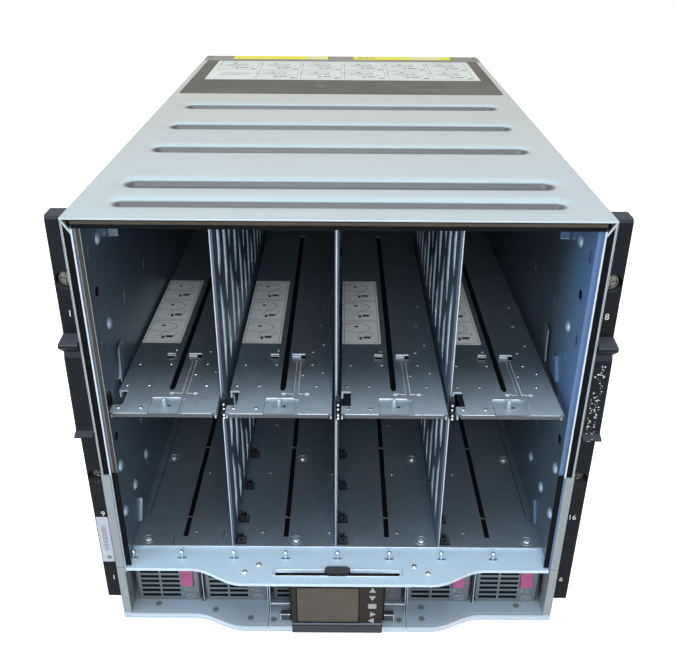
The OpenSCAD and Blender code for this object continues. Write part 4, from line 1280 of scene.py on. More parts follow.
@dataclass
class TopCover:
    """Cover sheet with its foil, white drawing sheet, yellow labels and front hem."""

    bench: Workbench
    top: float = 442.0
    foil_x: float = 216.0
    foil_y: tuple[float, float] = (492.0, 755.0)
    sheet_y: tuple[float, float] = (592.0, 750.0)
    sheet_x: tuple[float, float] = (-197.0, 200.0)
    yellow_x: tuple[tuple[float, float], ...] = ((-177, -23), (19, 177))
    yellow_y: tuple[float, float] = (771.0, 800.5)
    faded_x: tuple[tuple[float, float], ...] = ((-58, -28), (112, 160))
    faded_inset: float = 6.0
    mark_x: tuple[float, ...] = (30, 40, 51)
    rear_hole: tuple[float, float] = (216, 788)
    frames: int = 6
    margin: float = 7.0
    hem_x: float = 215.5
    hem_z: tuple[float, float, float] = (433.0, 436.6, 439.5)

    def build(self) -> None:
        """Dresses the cover and lays its labels."""
        bench, top = self.bench, self.top
        bench.dress(COVER, "top_cover")
        low, high = self.foil_y
        bench.plate("top_foil", (-self.foil_x, low, top), (self.foil_x, high, top + FILM_T), 3.0,
                    Seat(Slot.COVER, FOIL))
        self._drawing_sheet(top + FILM_T)
        low, high = self.yellow_y
        label_z = top + 0.14
        for side, (start, end) in zip(SIDES, self.yellow_x):
            bench.plate(f"yellow_label_{side}", (start, low, top), (end, high, label_z), 1.5,
                        Seat(Slot.COVER, YELLOW))
        for side, (start, end) in zip(SIDES, self.faded_x):
            bench.plate(f"faded_label_{side}", (start, low + self.faded_inset, label_z),
                        (end, high - self.faded_inset, top + 0.2), 1.5, Seat(Slot.COVER, PALE_YELLOW))
        marks = [(x, low + 16, top + 0.15) for x in self.mark_x]
        bench.bars("yellow_label_marks", marks, (7, 8, PRINT_T), Seat(Slot.COVER, INK))
        x, y = self.rear_hole
        # Black discs paint the shade seen in the cover's rear holes.
        bench.studs("cover_rear_hole_shades", [((s * x, y, top), UP) for s in LEFT_RIGHT], 2.6, FILM_T,
                    Seat(Slot.REAR, BLACK_STEEL), crown=0.95)
        self._hem()

    def _drawing_sheet(self, z: float) -> None:
        """Lays the white sheet and prints its two rows of framed drawings.

        Args:
            z: Height of the foil that it lies on.
        """
        bench = self.bench
        x0, x1 = self.sheet_x
        y0, y1 = self.sheet_y
        bench.plate("drawing_sheet", (x0, y0, z), (x1, y1, z + PRINT_T), 2.0, Seat(Slot.COVER, PAPER))
        width = (x1 - x0 - 10) / self.frames
        depth = (y1 - y0 - 2 * self.margin) / 2
        rows = (y1 - self.margin - depth / 2, y0 + self.margin + depth / 2)
        over = z + 0.12
        spots = [(x0 + 5 + width * (c + 0.5), y, over) for y in rows for c in range(self.frames)
                 if not (c == 0 and y == rows[1])]
        bench.pictures("drawing_frames", spots, (width - 5, depth - 6), Seat(Slot.COVER, INK), stroke=0.8)
        ruled = [(x0 + 38, rows[1] + d, over) for d in (8, 0, -8)]
        bench.bars("drawing_rules", ruled, (44, 1.6, 0.08), Seat(Slot.COVER, INK))
        edges = [(x, y + d, over) for x, y, _ in spots for d in (-depth / 2 + 3, depth / 2 - 3)]
        bench.bars("drawing_frame_rules", edges, (width - 5, 2.0, PRINT_T), Seat(Slot.COVER, PALE_INK))
        bodies = [(x - 4, y + 5, over - 0.02) for x, y, _ in spots]
        bench.bars("drawing_bodies", bodies, (34, 20, 0.08), Seat(Slot.COVER, PAPER_SHADE))
        steps = [(x + width / 2 - 8, y - depth / 2 + 9, over) for x, y, _ in spots]
        bench.bars("drawing_steps", steps, (7, 4.5, PRINT_T), Seat(Slot.COVER, DARK_INK))

    def _hem(self) -> None:
        """Closes the slit below the cover's front edge with its shadow gap and gasket."""
        x, (low, middle, high) = self.hem_x, self.hem_z
        self.bench.blocks("front_shadow_gap", [((-x, 0.3, low), (x, 4.2, middle))],
                          Seat(Slot.LINER, BLACK_STEEL), bevel=0.1)
        self.bench.blocks("front_gasket", [((-x, 0.1, middle), (x, 3.9, high))], Seat(Slot.LINER, GASKET), bevel=0.4)
        self.bench.beads("cover_front_edge", [[(-223.0, 0.5, 441.2), (223.0, 0.5, 441.2)]], 0.8,
                         Seat(Slot.COVER, COVER), sides=10)


@dataclass
class BayLiner:
    """Skins, cage walls and roof with their gaskets, bright edges, dimples and pressed tabs."""

    bench: Workbench
    zones: Zones
    post_top: float = 187.0
    gasket_x: tuple[float, float] = (-212.9, -210.1)
    gasket_edge_x: float = -209.6
    skin_edge_x: float = 222.9
    upper_gap: tuple[float, float] = (216.3, 222.1)
    lower_gap: tuple[float, float] = (209.8, 214.4)
    dimples: tuple[tuple[float, float], ...] = (
        (30.5, 176), (25, 124), (120, 125), (67.6, 123.7), (61, 402), (60, 318), (210, 176))
    small_dimples: tuple[tuple[float, float], ...] = ((55.3, 339.5), (54.3, 289))
    holes: tuple[tuple[float, float], ...] = ((39, 360), (32, 210))
    louvre: tuple[Point, ...] = (
        (0, 95, 282), (0.8, 84, 288), (2.6, 66, 288), (3.2, 62, 268), (3.2, 60, 254), (0, 84, 258))
    louvre_t: float = 1.2
    right_louvre_shift: float = 45.0
    tab_x: tuple[float, float] = (204.5, 213.8)
    tab_y: float = 92.0
    tab_z: float = 392.0

    def build(self) -> None:
        """Dresses the sheets and adds what is pressed into them."""
        bench, zones = self.bench, self.zones
        bench.dress(SKIN, "side_panel_left", "side_panel_right", "base_pan")
        bench.dress(LINER, "blade_cage")
        bench.dress(MOULDING, "shelf_ledges")
        bench.dress(BOARD, "midplane")
        foot, head = self.post_top, zones.roof_z
        edge = zones.bay_x + 0.8
        bench.beads("cage_front_edges", [[(s * edge, 0.7, foot), (s * edge, 0.7, head)] for s in LEFT_RIGHT], 0.95,
                    Seat(Slot.LINER, BRIGHT), sides=10)
        edge = self.gasket_edge_x
        bench.beads("gasket_edge", [[(edge, 4.3, foot), (edge, 4.3, head)]], 0.45, Seat(Slot.LINER, ROLLED))
        low, high = self.gasket_x
        bench.blocks("side_gasket", [((low, 2.9, foot), (high, 4.1, head))], Seat(Slot.LINER, GASKET), bevel=0.4)
        edge = self.skin_edge_x
        bench.beads("skin_front_edges", [[(s * edge, 0.5, foot), (s * edge, 0.5, 440)] for s in LEFT_RIGHT], 0.62,
                    Seat(Slot.SKIN, SKIN_EDGE), sides=8)
        shades = [((a, 1.6, foot), (b, 2.2, head)) for a, b in mirrored(*self.upper_gap)]
        shades += [((a, 2.0, zones.deck_z), (b, 4.2, foot)) for a, b in mirrored(*self.lower_gap)]
        bench.blocks("skin_gap_shades", shades, Seat(Slot.LINER, BLACK_STEEL), bevel=0.1)
        self._pressings(zones.bay_x)

    def _pressings(self, wall: float) -> None:
        """Adds the dimples, holes and slanted louvres of both walls, and the roof tabs.

        Args:
            wall: x of the right wall's inner face.
        """
        bench = self.bench

        def on_walls(spots: Iterable[tuple[float, float]]) -> list[Stud]:
            """Gives the same spots on both walls, facing the bay."""
            return [((s * wall, y, z), (-s, 0.0, 0.0)) for s in LEFT_RIGHT for y, z in spots]

        # The dimples' paler finish is a painted highlight.
        bench.studs("wall_dimples", on_walls(self.dimples), 6.0, 2.6, Seat(Slot.LINER, DIMPLE), crown=0.3, sides=20)
        bench.studs("wall_small_dimples", on_walls(self.small_dimples), 4.6, 0.9, Seat(Slot.LINER, LINER),
                    crown=0.3, sides=16)
        # Black discs paint the shade seen in the walls' holes.
        bench.studs("wall_hole_shades", on_walls(self.holes), 4.8, 0.1, Seat(Slot.LINER, BLACK_STEEL), crown=0.96, sides=18)
        mesh = bmesh.new()
        for s, back in zip(LEFT_RIGHT, (0, self.right_louvre_shift)):
            outline = [(s * (wall - inset), y + back, z) for inset, y, z in self.louvre]
            bench.prism(mesh, outline, (-s * self.louvre_t, 0, 0))
        bench.fix(bench.finish_mesh("wall_louvres", mesh), Seat(Slot.LINER, ROLLED), 0.3)
        tabs, y, z = mirrored(*self.tab_x), self.tab_y, self.tab_z
        bench.blocks("roof_tabs", [((a, y, z), (b, y + 1.2, self.zones.roof_z)) for a, b in tabs],
                     Seat(Slot.LINER, LINER), bevel=0.3)
        bench.beads("roof_tab_edges", [[(a + 0.4, y - 0.1, z + 0.5), (b - 0.4, y - 0.1, z + 0.5)] for a, b in tabs],
                    0.6, Seat(Slot.LINER, STEEL), sides=8)


@dataclass
class Dividers:
    """Three divider plates with bright front folds and rolled air slots."""

    bench: Workbench
    zones: Zones
    slot_w: float = 15.0
    slot_pitch: float = 35.0
    slot_count: int = 13
    first_slot: float = 22.0
    bridge: float = 9.0
    long_share: float = 0.6
    slot_bow: tuple[tuple[float, float], ...] = ((0.45, 0.96), (1.0, 0.68), (1.0, 0.3), (0.45, 0.04))
    catch: tuple[tuple[Point, Point], ...] = (
        ((-0.4, 21.5, 237.0), (4.2, 32.5, 244.5)), ((-0.4, 24.5, 244.5), (4.2, 32.5, 257.0)))
    wall_catch: tuple[tuple[Point, Point], ...] = (((0, 18, 240), (2.8, 30, 250)), ((0, 22, 250), (1.8, 31, 262)))
    rivet_rows: tuple[tuple[float, float, tuple[float, float]], ...] = (
        (2.0, 21.6, (238.8, 242.3)), (1.9, 24.6, (246.8, 251.6)))

    def build(self) -> None:
        """Dresses the plates, their slots and their foot clips."""
        bench, zones = self.bench, self.zones
        bench.dress(DIVIDER, *[f"zone_divider_{k}" for k in zones.dividers])
        bench.dress(MOULDING, "divider_clips")
        y = zones.divider_y + 0.1
        folds = [zones.divider(k) + (k - 2) * 1.0 for k in zones.dividers]
        bench.beads("divider_front_folds", [[(x, y, zones.deck_z), (x, y, zones.roof_z)] for x in folds], 0.6,
                    Seat(Slot.LINER, BRIGHT), sides=8)
        edges = [self._slot(zones.divider(k), y, low, high) for k in zones.dividers
                 for y, low, high in self._slots()]
        bench.beads("divider_slot_rims", edges, 0.6, Seat(Slot.LINER, RIM), sides=8)
        catches = [shifted(step, zones.divider(k)) for k in zones.dividers for step in self.catch]
        catches += [shifted(step, -zones.bay_x) for step in self.wall_catch]
        bench.blocks("shelf_catches", catches, Seat(Slot.MOULDING, MOULDING), bevel=0.5)
        rivets = [((zones.divider(k) + x, y, z), FORWARD) for x, y, heights in self.rivet_rows
                  for k in zones.dividers for z in heights]
        bench.studs("shelf_catch_rivets", rivets, 1.5, 1.2, Seat(Slot.PIN, STEEL), crown=0.4)

    def _slots(self) -> list[tuple[float, float, float]]:
        """Lists the air slots of a plate.

        Returns:
            The front edge, foot and top of every slot.
        """
        zones = self.zones
        found = []
        for low, high in ((zones.deck_z + 14, zones.shelf_z - 24), (zones.shelf_z + 12, zones.roof_z - 10)):
            rise = high - low
            long = rise * self.long_share
            for i in range(self.slot_count):
                y = zones.divider_y + self.first_slot + i * self.slot_pitch
                cuts = ((0.0, long), (long + self.bridge, rise)) if i % 2 == 0 else (
                    (0.0, rise - long - self.bridge), (rise - long, rise))
                found += [(y, low + a, low + b) for a, b in cuts]
        return found

    def _slot(self, x: float, y: float, low: float, high: float) -> list[Point]:
        """Gives the rolled rear edge of one air slot, from its front edge y, foot and top."""
        return [(x, y + self.slot_w * a, low + (high - low) * b) for a, b in self.slot_bow]


@dataclass
class BayShelves:
    """Four sliding shelves with their labels, rivets, lock tracks and locking tabs."""

    bench: Workbench
    zones: Zones
    front: float = 10.0
    lock_half: float = 13.75
    slot_shift: float = 1.2
    slot_half: float = 5.0
    slot_y: tuple[float, float] = (49, 471)
    label_x: tuple[float, float] = (-48.6, -7.2)
    label_y: tuple[float, float] = (147, 311)
    frame_x: float = -27.9
    frame_y: tuple[float, ...] = (174.5, 228.0, 281.5)
    rivets: tuple[tuple[float, float], ...] = (
        (-39.8, 101), (-43.6, 59.5), (-22, 59.8), (-42.5, 19.4), (-21.7, 19.2), (-8.4, 101.5), (28.4, 102),
        (27.8, 128.5), (-8.5, 131.2), (39.3, 86), (19.5, 80.8), (33.6, 59.8), (38.9, 145.2), (34, 190.3),
        (38.5, 240), (38.5, 330))
    track: tuple[tuple[Point, ...], ...] = (
        ((8, 44.8, 0), (12.5, 44.8, 0), (12.3, 108, 0)), ((16.3, 108, 0), (16.8, 44.8, 0), (21.5, 44.8, 0)),
        ((3.5, 44.8, 0), (6, 46.5, 0), (8, 44.8, 0)))
    track_marks: tuple[Point, ...] = ((2.5, 44.8, 0), (25, 44.8, 0))
    stop_tabs: tuple[tuple[Point, Point], ...] = (
        ((-15.4, 117.8, 0), (-7.0, 119.6, 3.2)), ((6.8, 117.8, 0), (20.2, 119.6, 3.2)))
    tab_gaps: tuple[tuple[Point, Point], ...] = (
        ((-15.3, 117.7, 1.3), (-7.1, 118.2, 2.0)), ((6.9, 117.7, 1.3), (20.1, 118.2, 2.0)),
        ((15.6, 117.7, 0.1), (20.1, 118.2, 2.0)), ((-15.2, 113.6, 0), (-7.2, 117.6, 0.1)),
        ((15.6, 114.0, 0), (20.6, 117.6, 0.1)))
    edge_spans: tuple[tuple[float, float], ...] = ((-45.5, -14.4), (18.0, 45.5))
    lock_hole: tuple[float, float] = (4.6, 12.5)
    pull_y: float = 24.8

    def build(self) -> None:
        """Dresses each shelf with its lock."""
        for zone in range(self.zones.count):
            self._shelf(zone + 1, self.zones.shelf(zone))

    def _shelf(self, number: int, cx: float) -> None:
        """Dresses one shelf.

        Args:
            number: Number of the shelf.
            cx: x of its middle.
        """
        bench, z = self.bench, self.zones.shelf_z
        body = f"bay_shelf_{number}"
        bench.dress(SHELF, body, f"shelf_lock_{number}")
        slot = cx + self.slot_shift
        # A black strip under the guide slot paints the shade seen through it.
        bench.blocks(f"shelf_slot_shade_{number}", [((slot - self.slot_half, self.slot_y[0], z - 2.8),
                                                        (slot + self.slot_half, self.slot_y[1], z - 2.0))],
                     Seat(Slot.DECK, BLACK_STEEL, body), bevel=0.1)
        bench.plate(f"shelf_label_{number}", (cx + self.label_x[0], self.label_y[0], z),
                    (cx + self.label_x[1], self.label_y[1], z + FILM_T), 1.5, Seat(Slot.DECK, SHADE_PAPER, body))
        frames = [(cx + self.frame_x, y, z + 0.14) for y in self.frame_y]
        bench.pictures(f"shelf_label_frames_{number}", frames, (37, 50), Seat(Slot.DECK, DARK_INK, body), stroke=0.55)
        bench.studs(f"shelf_rivets_{number}", [((cx + x, y, z), UP) for x, y in self.rivets], 2.0, 0.8,
                    Seat(Slot.DECK, STEEL, body), crown=0.5, sides=12)
        bench.beads(f"lock_track_{number}", [shifted(line, cx, z) for line in self.track], 0.28,
                    Seat(Slot.DECK, SHADE_PAPER, body), sides=4)
        bench.studs(f"lock_marks_{number}", [(mark, UP) for mark in shifted(self.track_marks, cx, z)], 2.3, FILM_T,
                    Seat(Slot.DECK, SHADE_PAPER, body), crown=0.9, sides=16)
        # The stop tabs' pale finish is a painted highlight, and the black blocks below and beside them paint their
        # shadows.
        bench.blocks(f"shelf_stop_tabs_{number}", [shifted(tab, cx, z) for tab in self.stop_tabs],
                     Seat(Slot.DECK, RIM, body), bevel=0.2)
        bench.blocks(f"stop_tab_shadows_{number}", [shifted(gap, cx, z) for gap in self.tab_gaps],
                     Seat(Slot.DECK, BLACK_STEEL, body), bevel=0.03)
        edge = self.front + 0.4
        bench.beads(f"shelf_front_edge_{number}", [[(cx + a, edge, z - 0.4), (cx + b, edge, z - 0.4)]
                                                   for a, b in self.edge_spans],
                    0.5, Seat(Slot.DECK, BRIGHT, body), sides=10)
        self._lock(number, cx, z)

    def _lock(self, number: int, cx: float, z: float) -> None:
        """Dresses one shelf's locking tab.

        Args:
            number: Number of the shelf.
            cx: x of the tab's middle.
            z: Height of the shelf's top.
        """
        bench, lock = self.bench, f"shelf_lock_{number}"

        def across(inset: float, y: float, height: float) -> list[list[Point]]:
            """Gives one line along the tab."""
            return [[(cx - self.lock_half + inset, y, height), (cx + self.lock_half - inset, y, height)]]

        bench.beads(f"lock_front_edge_{number}", across(0.4, self.front + 0.5, z - 0.55), 0.52,
                    Seat(Slot.DECK, BRIGHT, lock), sides=8)
        # A black disc paints the shade seen in the lock's hole.
        x, y = self.lock_hole
        bench.studs(f"lock_hole_{number}", [((cx + x, self.front + y, z), UP)], 1.5, 0.1,
                    Seat(Slot.DECK, BLACK_STEEL, lock), crown=0.9, sides=12)
        bench.beads(f"lock_pull_{number}", across(0.8, self.front + self.pull_y, z + 1.2), 0.95,
                    Seat(Slot.DECK, BRIGHT, lock), sides=10)


@dataclass
class BladeDeck:
    """Blade floor with its curved lip, pins, ring screws, rivets and slide slot."""

    bench: Workbench
    zones: Zones
    lip_z: float = 70.0
    lip_x: float = 213.6
    reach: float = 20.5
    crease_x: float = 214.0
    crease_y: float = 31.0
    ring_x: tuple[float, ...] = (-199.9, -43.9, 88.2, 199.7)
    ring_y: tuple[float, ...] = (41, 185.5)
    rivets: tuple[tuple[float, float], ...] = (
        (-151.6, 53.9), (-80.4, 53.7), (-8.7, 53.7), (63.2, 53.3), (134.2, 53.8), (-151.9, 156.8),
        (-80.6, 156.9), (-8.5, 155.2), (62.8, 155.6), (134.2, 156.4), (-80.9, 259), (62.8, 259), (134.2, 259))
    lip_rivets: tuple[tuple[float, float], ...] = ((-80.3, 6), (-93.7, -4.4), (78.4, 5), (91.5, -5.1))
    slits: tuple[tuple[float, float], ...] = ((-173, 38), (-121.5, 49))
    side_seam: tuple[float, float] = (206.5, 300)
    channel_half: float = 5.0
    channel_y: tuple[float, float] = (44, 502)
    bridge_y: tuple[float, ...] = (80.5, 211.5, 352.5)
    slide_half: float = 65.7
    slide_y: float = -5.8
    slide_rim: float = 4.6

    def build(self) -> None:
        """Dresses the deck and the pins and adds its fittings."""
        bench, z = self.bench, self.zones.deck_z
        bench.dress(DECK, "blade_deck")
        bench.dress(STEEL, "blade_pins")
        bench.beads("deck_lip_edge", [lip_line(-self.lip_x, self.lip_x, self.reach, 1.55, self.lip_z - 1.7)], 1.72,
                    Seat(Slot.DECK, BRIGHT), sides=12)
        x, y = self.crease_x, self.crease_y
        bench.beads("deck_crease", [[(-x, y, z - 0.5), (x, y, z - 0.5)]], 0.6, Seat(Slot.DECK, BRIGHT), sides=8)
        rings = [(x, y) for y in self.ring_y for x in self.ring_x]
        bench.rings("deck_screw_rings", [((x, y, z + 0.1), UP) for x, y in rings], 6.4, 0.6, Seat(Slot.DECK, ROLLED))
        bench.studs("deck_ring_screws", [((x, y, z), UP) for x, y in rings], 3.6, 1.5, Seat(Slot.PIN, BRIGHT),
                    crown=0.55)
        bench.studs("deck_rivets", [((x, y, z), UP) for x, y in self.rivets], 2.6, 1.2, Seat(Slot.PIN, SCREW),
                    crown=0.4)
        bench.studs("lip_rivets", [((x, y, self.lip_z), UP) for x, y in self.lip_rivets], 3.1, 1.5,
                    Seat(Slot.PIN, STEEL), crown=0.45)
        bench.bars("deck_seams", [(x, y, z + 0.02) for x, y in self.slits], (0.5, 14, PRINT_T),
                   Seat(Slot.DECK, BLACK_STEEL))
        x, y = self.side_seam
        bench.bars("deck_side_seams", [(s * x, y, z + 0.02) for s in LEFT_RIGHT], (0.7, 440, PRINT_T),
                   Seat(Slot.DECK, BLACK_STEEL))
        under = z - 1.6
        middles = [self.zones.shelf(k) for k in range(self.zones.count)]
        start, end = self.channel_y
        # Black strips under the guide slots paint the shade seen through them.
        bench.blocks("deck_slot_shades", [((x - self.channel_half, start, under - 0.8),
                                              (x + self.channel_half, end, under)) for x in middles],
                     Seat(Slot.DECK, BLACK_STEEL), bevel=0.1)
        self._bridges([(x, y, z) for x in middles for y in self.bridge_y])
        self._slide_slot()

    def _bridges(self, spots: Sequence[Point]) -> None:
        """Paints shade on the sunk bridges of the guide slots, each with a painted highlight on its left edge.

        Args:
            spots: Middle of each bridge.
        """
        self.bench.bars("slot_bridge_shades", [(x, y, z + 0.03) for x, y, z in spots], (5.4, 5.8, PRINT_T),
                        Seat(Slot.DECK, BLACK_STEEL))
        self.bench.bars("slot_bridge_highlights", [(x - 1.7, y - 2.2, z + 0.12) for x, y, z in spots],
                        (2.0, 0.7, PRINT_T), Seat(Slot.DECK, BRIGHT))

    def _slide_slot(self) -> None:
        """Rims and shades the display's slide slot."""
        bench, half, y, r = self.bench, self.slide_half, self.slide_y, self.slide_rim
        outline = []
        for s, start in ((1, -90), (-1, 90)):
            for i in range(9):
                angle = math.radians(start + 180 * i / 8)
                outline.append((s * (half - r) + r * math.cos(angle), y + r * math.sin(angle), self.lip_z + 0.75))
        # A black plate at the back of the slot and a black strip on the lip paint the shade in the slot.
        bench.blocks("slide_slot_back_shade", [((-half, y + 2.5, self.lip_z - 7), (half, y + 3.2, self.lip_z - 1.6))],
                     Seat(Slot.DECK, BLACK_STEEL), bevel=0.1)
        bench.plate("slide_slot_shade", (3 - half, y - 4.7, self.lip_z + 0.8),
                    (half - 3, y - 2.3, self.lip_z + 1.0), 1.0, Seat(Slot.DECK, BLACK_STEEL))
        bench.beads("slide_slot_rim", [outline], 0.5, Seat(Slot.DECK, BRIGHT), closed=True, sides=8)


@dataclass
class FrontFrame:
    """Silver corner posts with their curved apron."""

    bench: Workbench
    reach: float = 17.0
    apron_x: float = 216.8
    apron_z: float = 7.0
    seam_x: float = 71.7
    seam_gap: float = 0.5
    seam_y: tuple[float, float] = (2.4, -13.4)
    screws: tuple[tuple[float, float], ...] = (
        (-190.1, 13.6), (-128.7, 5.7), (-90.5, -5.6), (-66.2, -7.3), (88.9, 10.5), (88.2, -5.6),
        (190.4, 13.6), (64.7, -7.4))

    def build(self) -> None:
        """Dresses the frame, rounds its lip and sets its screws."""
        bench, z, end, seam, gap = self.bench, self.apron_z, self.apron_x, self.seam_x, self.seam_gap
        bench.dress(ARM, "front_frame")
        spans = ((-end, -seam - gap), (-seam + gap, seam - gap), (seam + gap, end))
        bench.beads("apron_lip", [lip_line(a, b, self.reach, 3.4, 3.6, 30) for a, b in spans], 3.55,
                    Seat(Slot.ARM, LIP), sides=16)
        bench.rings("apron_screw_rings", [((x, y, z + 0.05), UP) for x, y in self.screws], 3.0, 0.22,
                    Seat(Slot.ARM, BLACK_STEEL))
        bench.studs("apron_screws", [((x, y, z), UP) for x, y in self.screws], 2.4, 0.28, Seat(Slot.PIN, SCREW),
                    crown=0.6)
        seams = [[(s * seam - 0.9, y, z) for y in self.seam_y] for s in LEFT_RIGHT]
        bench.beads("apron_seam_edges", seams, 0.25, Seat(Slot.ARM, BRIGHT), sides=8)


@dataclass
class SupplyBank:
    """Six power supplies with their marks and latches, and the walls between them."""

    bench: Workbench
    pitch: float = 71.667
    count: int = 6
    face_y: float = 20.0
    width: float = 66.067
    wall_z: tuple[float, float] = (7.2, 68.2)
    wall_fronts: tuple[tuple[int, float], ...] = ((-2, 17.0), (-1, 3.0), (0, 23.0), (1, 3.0), (2, 17.0))
    rod: tuple[float, float] = (5, 17)
    slot_w: float = 18.68
    slot_gap: float = 2.7
    slot_pitch: float = 6.5
    slot_rows: int = 8
    slot_start: tuple[float, float] = (4.8, 11.8)
    edge_x: float = 32.2
    edge_z: tuple[float, float] = (8.4, 63.4)
    lamp: tuple[float, float] = (17.2, 21.6)
    triangle: tuple[tuple[float, float], ...] = ((19.9, 19.2), (24.7, 19.2), (22.3, 23.2))
    oval: tuple[float, float, float, float] = (22.5, 11.6, 5.2, 3.0)
    latch_x: float = 20.33
    rib_z: tuple[float, ...] = (33.5, 36.5, 39.5, 42.5)

    def build(self) -> None:
        """Dresses the supplies, their latches and the walls."""
        bench = self.bench
        bench.dress(LINER, "supply_walls")
        low, high = self.wall_z
        lines = [[(i * self.pitch + d, y, low), (i * self.pitch + d, y, high)]
                 for i, y in self.wall_fronts for d in ((-0.8, 1.4) if abs(i) == 1 else (1.2,))]
        bench.beads("supply_wall_edges", lines, 0.5, Seat(Slot.LINER, BRIGHT), sides=10)
        shades = [((i * self.pitch - 0.5, y - 0.15, low), (i * self.pitch + 0.7, y + 0.5, high))
                  for i, y in self.wall_fronts]
        bench.blocks("supply_wall_shades", shades, Seat(Slot.LINER, BLACK_STEEL), bevel=0.1)
        y, z = self.rod
        bench.beads("display_rod", [[(-self.pitch + 1, y, z), (self.pitch - 1, y, z)]], 1.55,
                    Seat(Slot.LINER, ROLLED), sides=12)
        for number in range(self.count):
            self._supply(number + 1, (number - (self.count - 1) / 2) * self.pitch)

    def _supply(self, number: int, x: float) -> None:
        """Dresses one supply.

        Args:
            number: Number of the supply.
            x: x of its middle.
        """
        bench, y = self.bench, self.face_y
        body, latch = f"power_supply_{number}", f"supply_latch_{number}"
        print_seat = Seat(Slot.SUPPLY, DULL_INK, body)
        bench.dress(SUPPLY, body)
        bench.dress(LATCH, latch)
        bench.studs(f"supply_lamp_{number}", [((x + self.lamp[0], y, self.lamp[1]), FORWARD)], 0.9, 0.4,
                    Seat(Slot.SUPPLY, LAMP, body))
        cx, cz, rx, rz = self.oval
        oval = [(x + cx + rx * math.cos(a), y, cz + rz * math.sin(a)) for a in (math.tau * i / 18 for i in range(18))]
        bench.beads(f"supply_marks_{number}", [[(x + a, y, z) for a, z in self.triangle], oval], 0.32, print_seat,
                    closed=True, sides=5)
        wave = [(x + 19.7 + 0.56 * i, y, cz + 1.2 * math.sin(math.tau * i / 10)) for i in range(11)]
        bench.beads(f"supply_wave_{number}", [wave], 0.3, print_seat, sides=5)
        left, low = x - self.width / 2 + self.slot_start[0], self.slot_start[1]
        slots = [(left + c * (self.slot_w + self.slot_gap), low + r * self.slot_pitch)
                 for c in (0, 1) for r in range(self.slot_rows)]
        # Black blocks, a little larger than the slots and just proud of the face, paint the shade in the air slots.
        bench.blocks(f"supply_slot_shades_{number}", [((a - 0.3, y - 0.06, b - 0.35),
                                                       (a + self.slot_w + 0.3, y + 3, b + 3.55)) for a, b in slots],
                     Seat(Slot.SUPPLY, BLACK_STEEL, body), bevel=0.25)
        edges = [[(x + s * self.edge_x, y, z) for z in self.edge_z] for s in LEFT_RIGHT]
        bench.beads(f"supply_face_edges_{number}", edges, 0.5, Seat(Slot.SUPPLY, MODULE, body), sides=6)
        bench.bars(f"latch_ribs_{number}", [(x + self.latch_x, y - 0.7, z) for z in self.rib_z], (9.6, 1.0, 0.9),
                   Seat(Slot.LATCH, LATCH, latch))


@dataclass
class DisplayUnit:
    """Tilting display on its sliding carriage."""

    bench: Workbench
    half: float = 46.0
    front: float = -19.3
    foot_front: float = -22.0
    screen: tuple[Point, Point] = ((-41.2, 15.4, 0), (22.2, 63.7, 0))
    bracket: tuple[Point, Point] = ((48.6, -9.1, 7.9), (58.7, -2.7, 16.2))

    def build(self) -> None:
        """Dresses the display, its keys and its carriage."""
        bench = self.bench
        bench.dress(MOULDING, "display_carriage")
        bench.dress(CASE, "display_housing")
        bench.dress(GLASS, "display_screen")
        bench.dress(KEYCAP, "key_up", "key_down", "key_ok", "key_right", "key_left")
        rim = rounded(*self.screen, 1.2, 3)
        bench.beads("screen_rim", [[(x, self.front, z) for x, z, _ in rim]], 0.45,
                    Seat(Slot.CASE, BLACK_STEEL, Body.DISPLAY), closed=True, sides=6)
        self._foot_cap()
        (near, y0, z0), (far, y1, z1) = self.bracket
        spans = [((a, y0, z0), (b, y1, z1)) for a, b in mirrored(near, far)]
        bench.blocks("carriage_bracket_ends", spans, Seat(Slot.MOULDING, MODULE, Body.CARRIAGE), bevel=0.6)
        rims = [[(s * 48.8, -9.3, 16.0), (s * 58.5, -9.3, 16.0), (s * 58.5, -9.3, 8.2)] for s in LEFT_RIGHT]
        bench.beads("carriage_bracket_rims", rims, 0.55, Seat(Slot.MOULDING, BRIGHT, Body.CARRIAGE), sides=8)

    def _foot_cap(self) -> None:
        """Caps the display's foot with its rounded bar, whose top carries a painted highlight."""
        start, foot, face = -self.half + 0.1, self.foot_front, self.front
        section = ((foot + 0.2, 3.6), (foot - 0.1, 4.6), (foot - 0.1, 12.6), (foot + 1.0, 15.1), (face + 0.5, 15.1),
                   (face - 0.1, 13.4), (face - 0.1, 5.0), (foot + 1.2, 3.3))
        mesh = bmesh.new()
        self.bench.prism(mesh, [(start, y, z) for y, z in section], (2 * self.half - 0.2, 0, 0))
        self.bench.fix(self.bench.finish_mesh("display_foot_cap", mesh), Seat(Slot.CASE, BAR, Body.DISPLAY), 0.35)


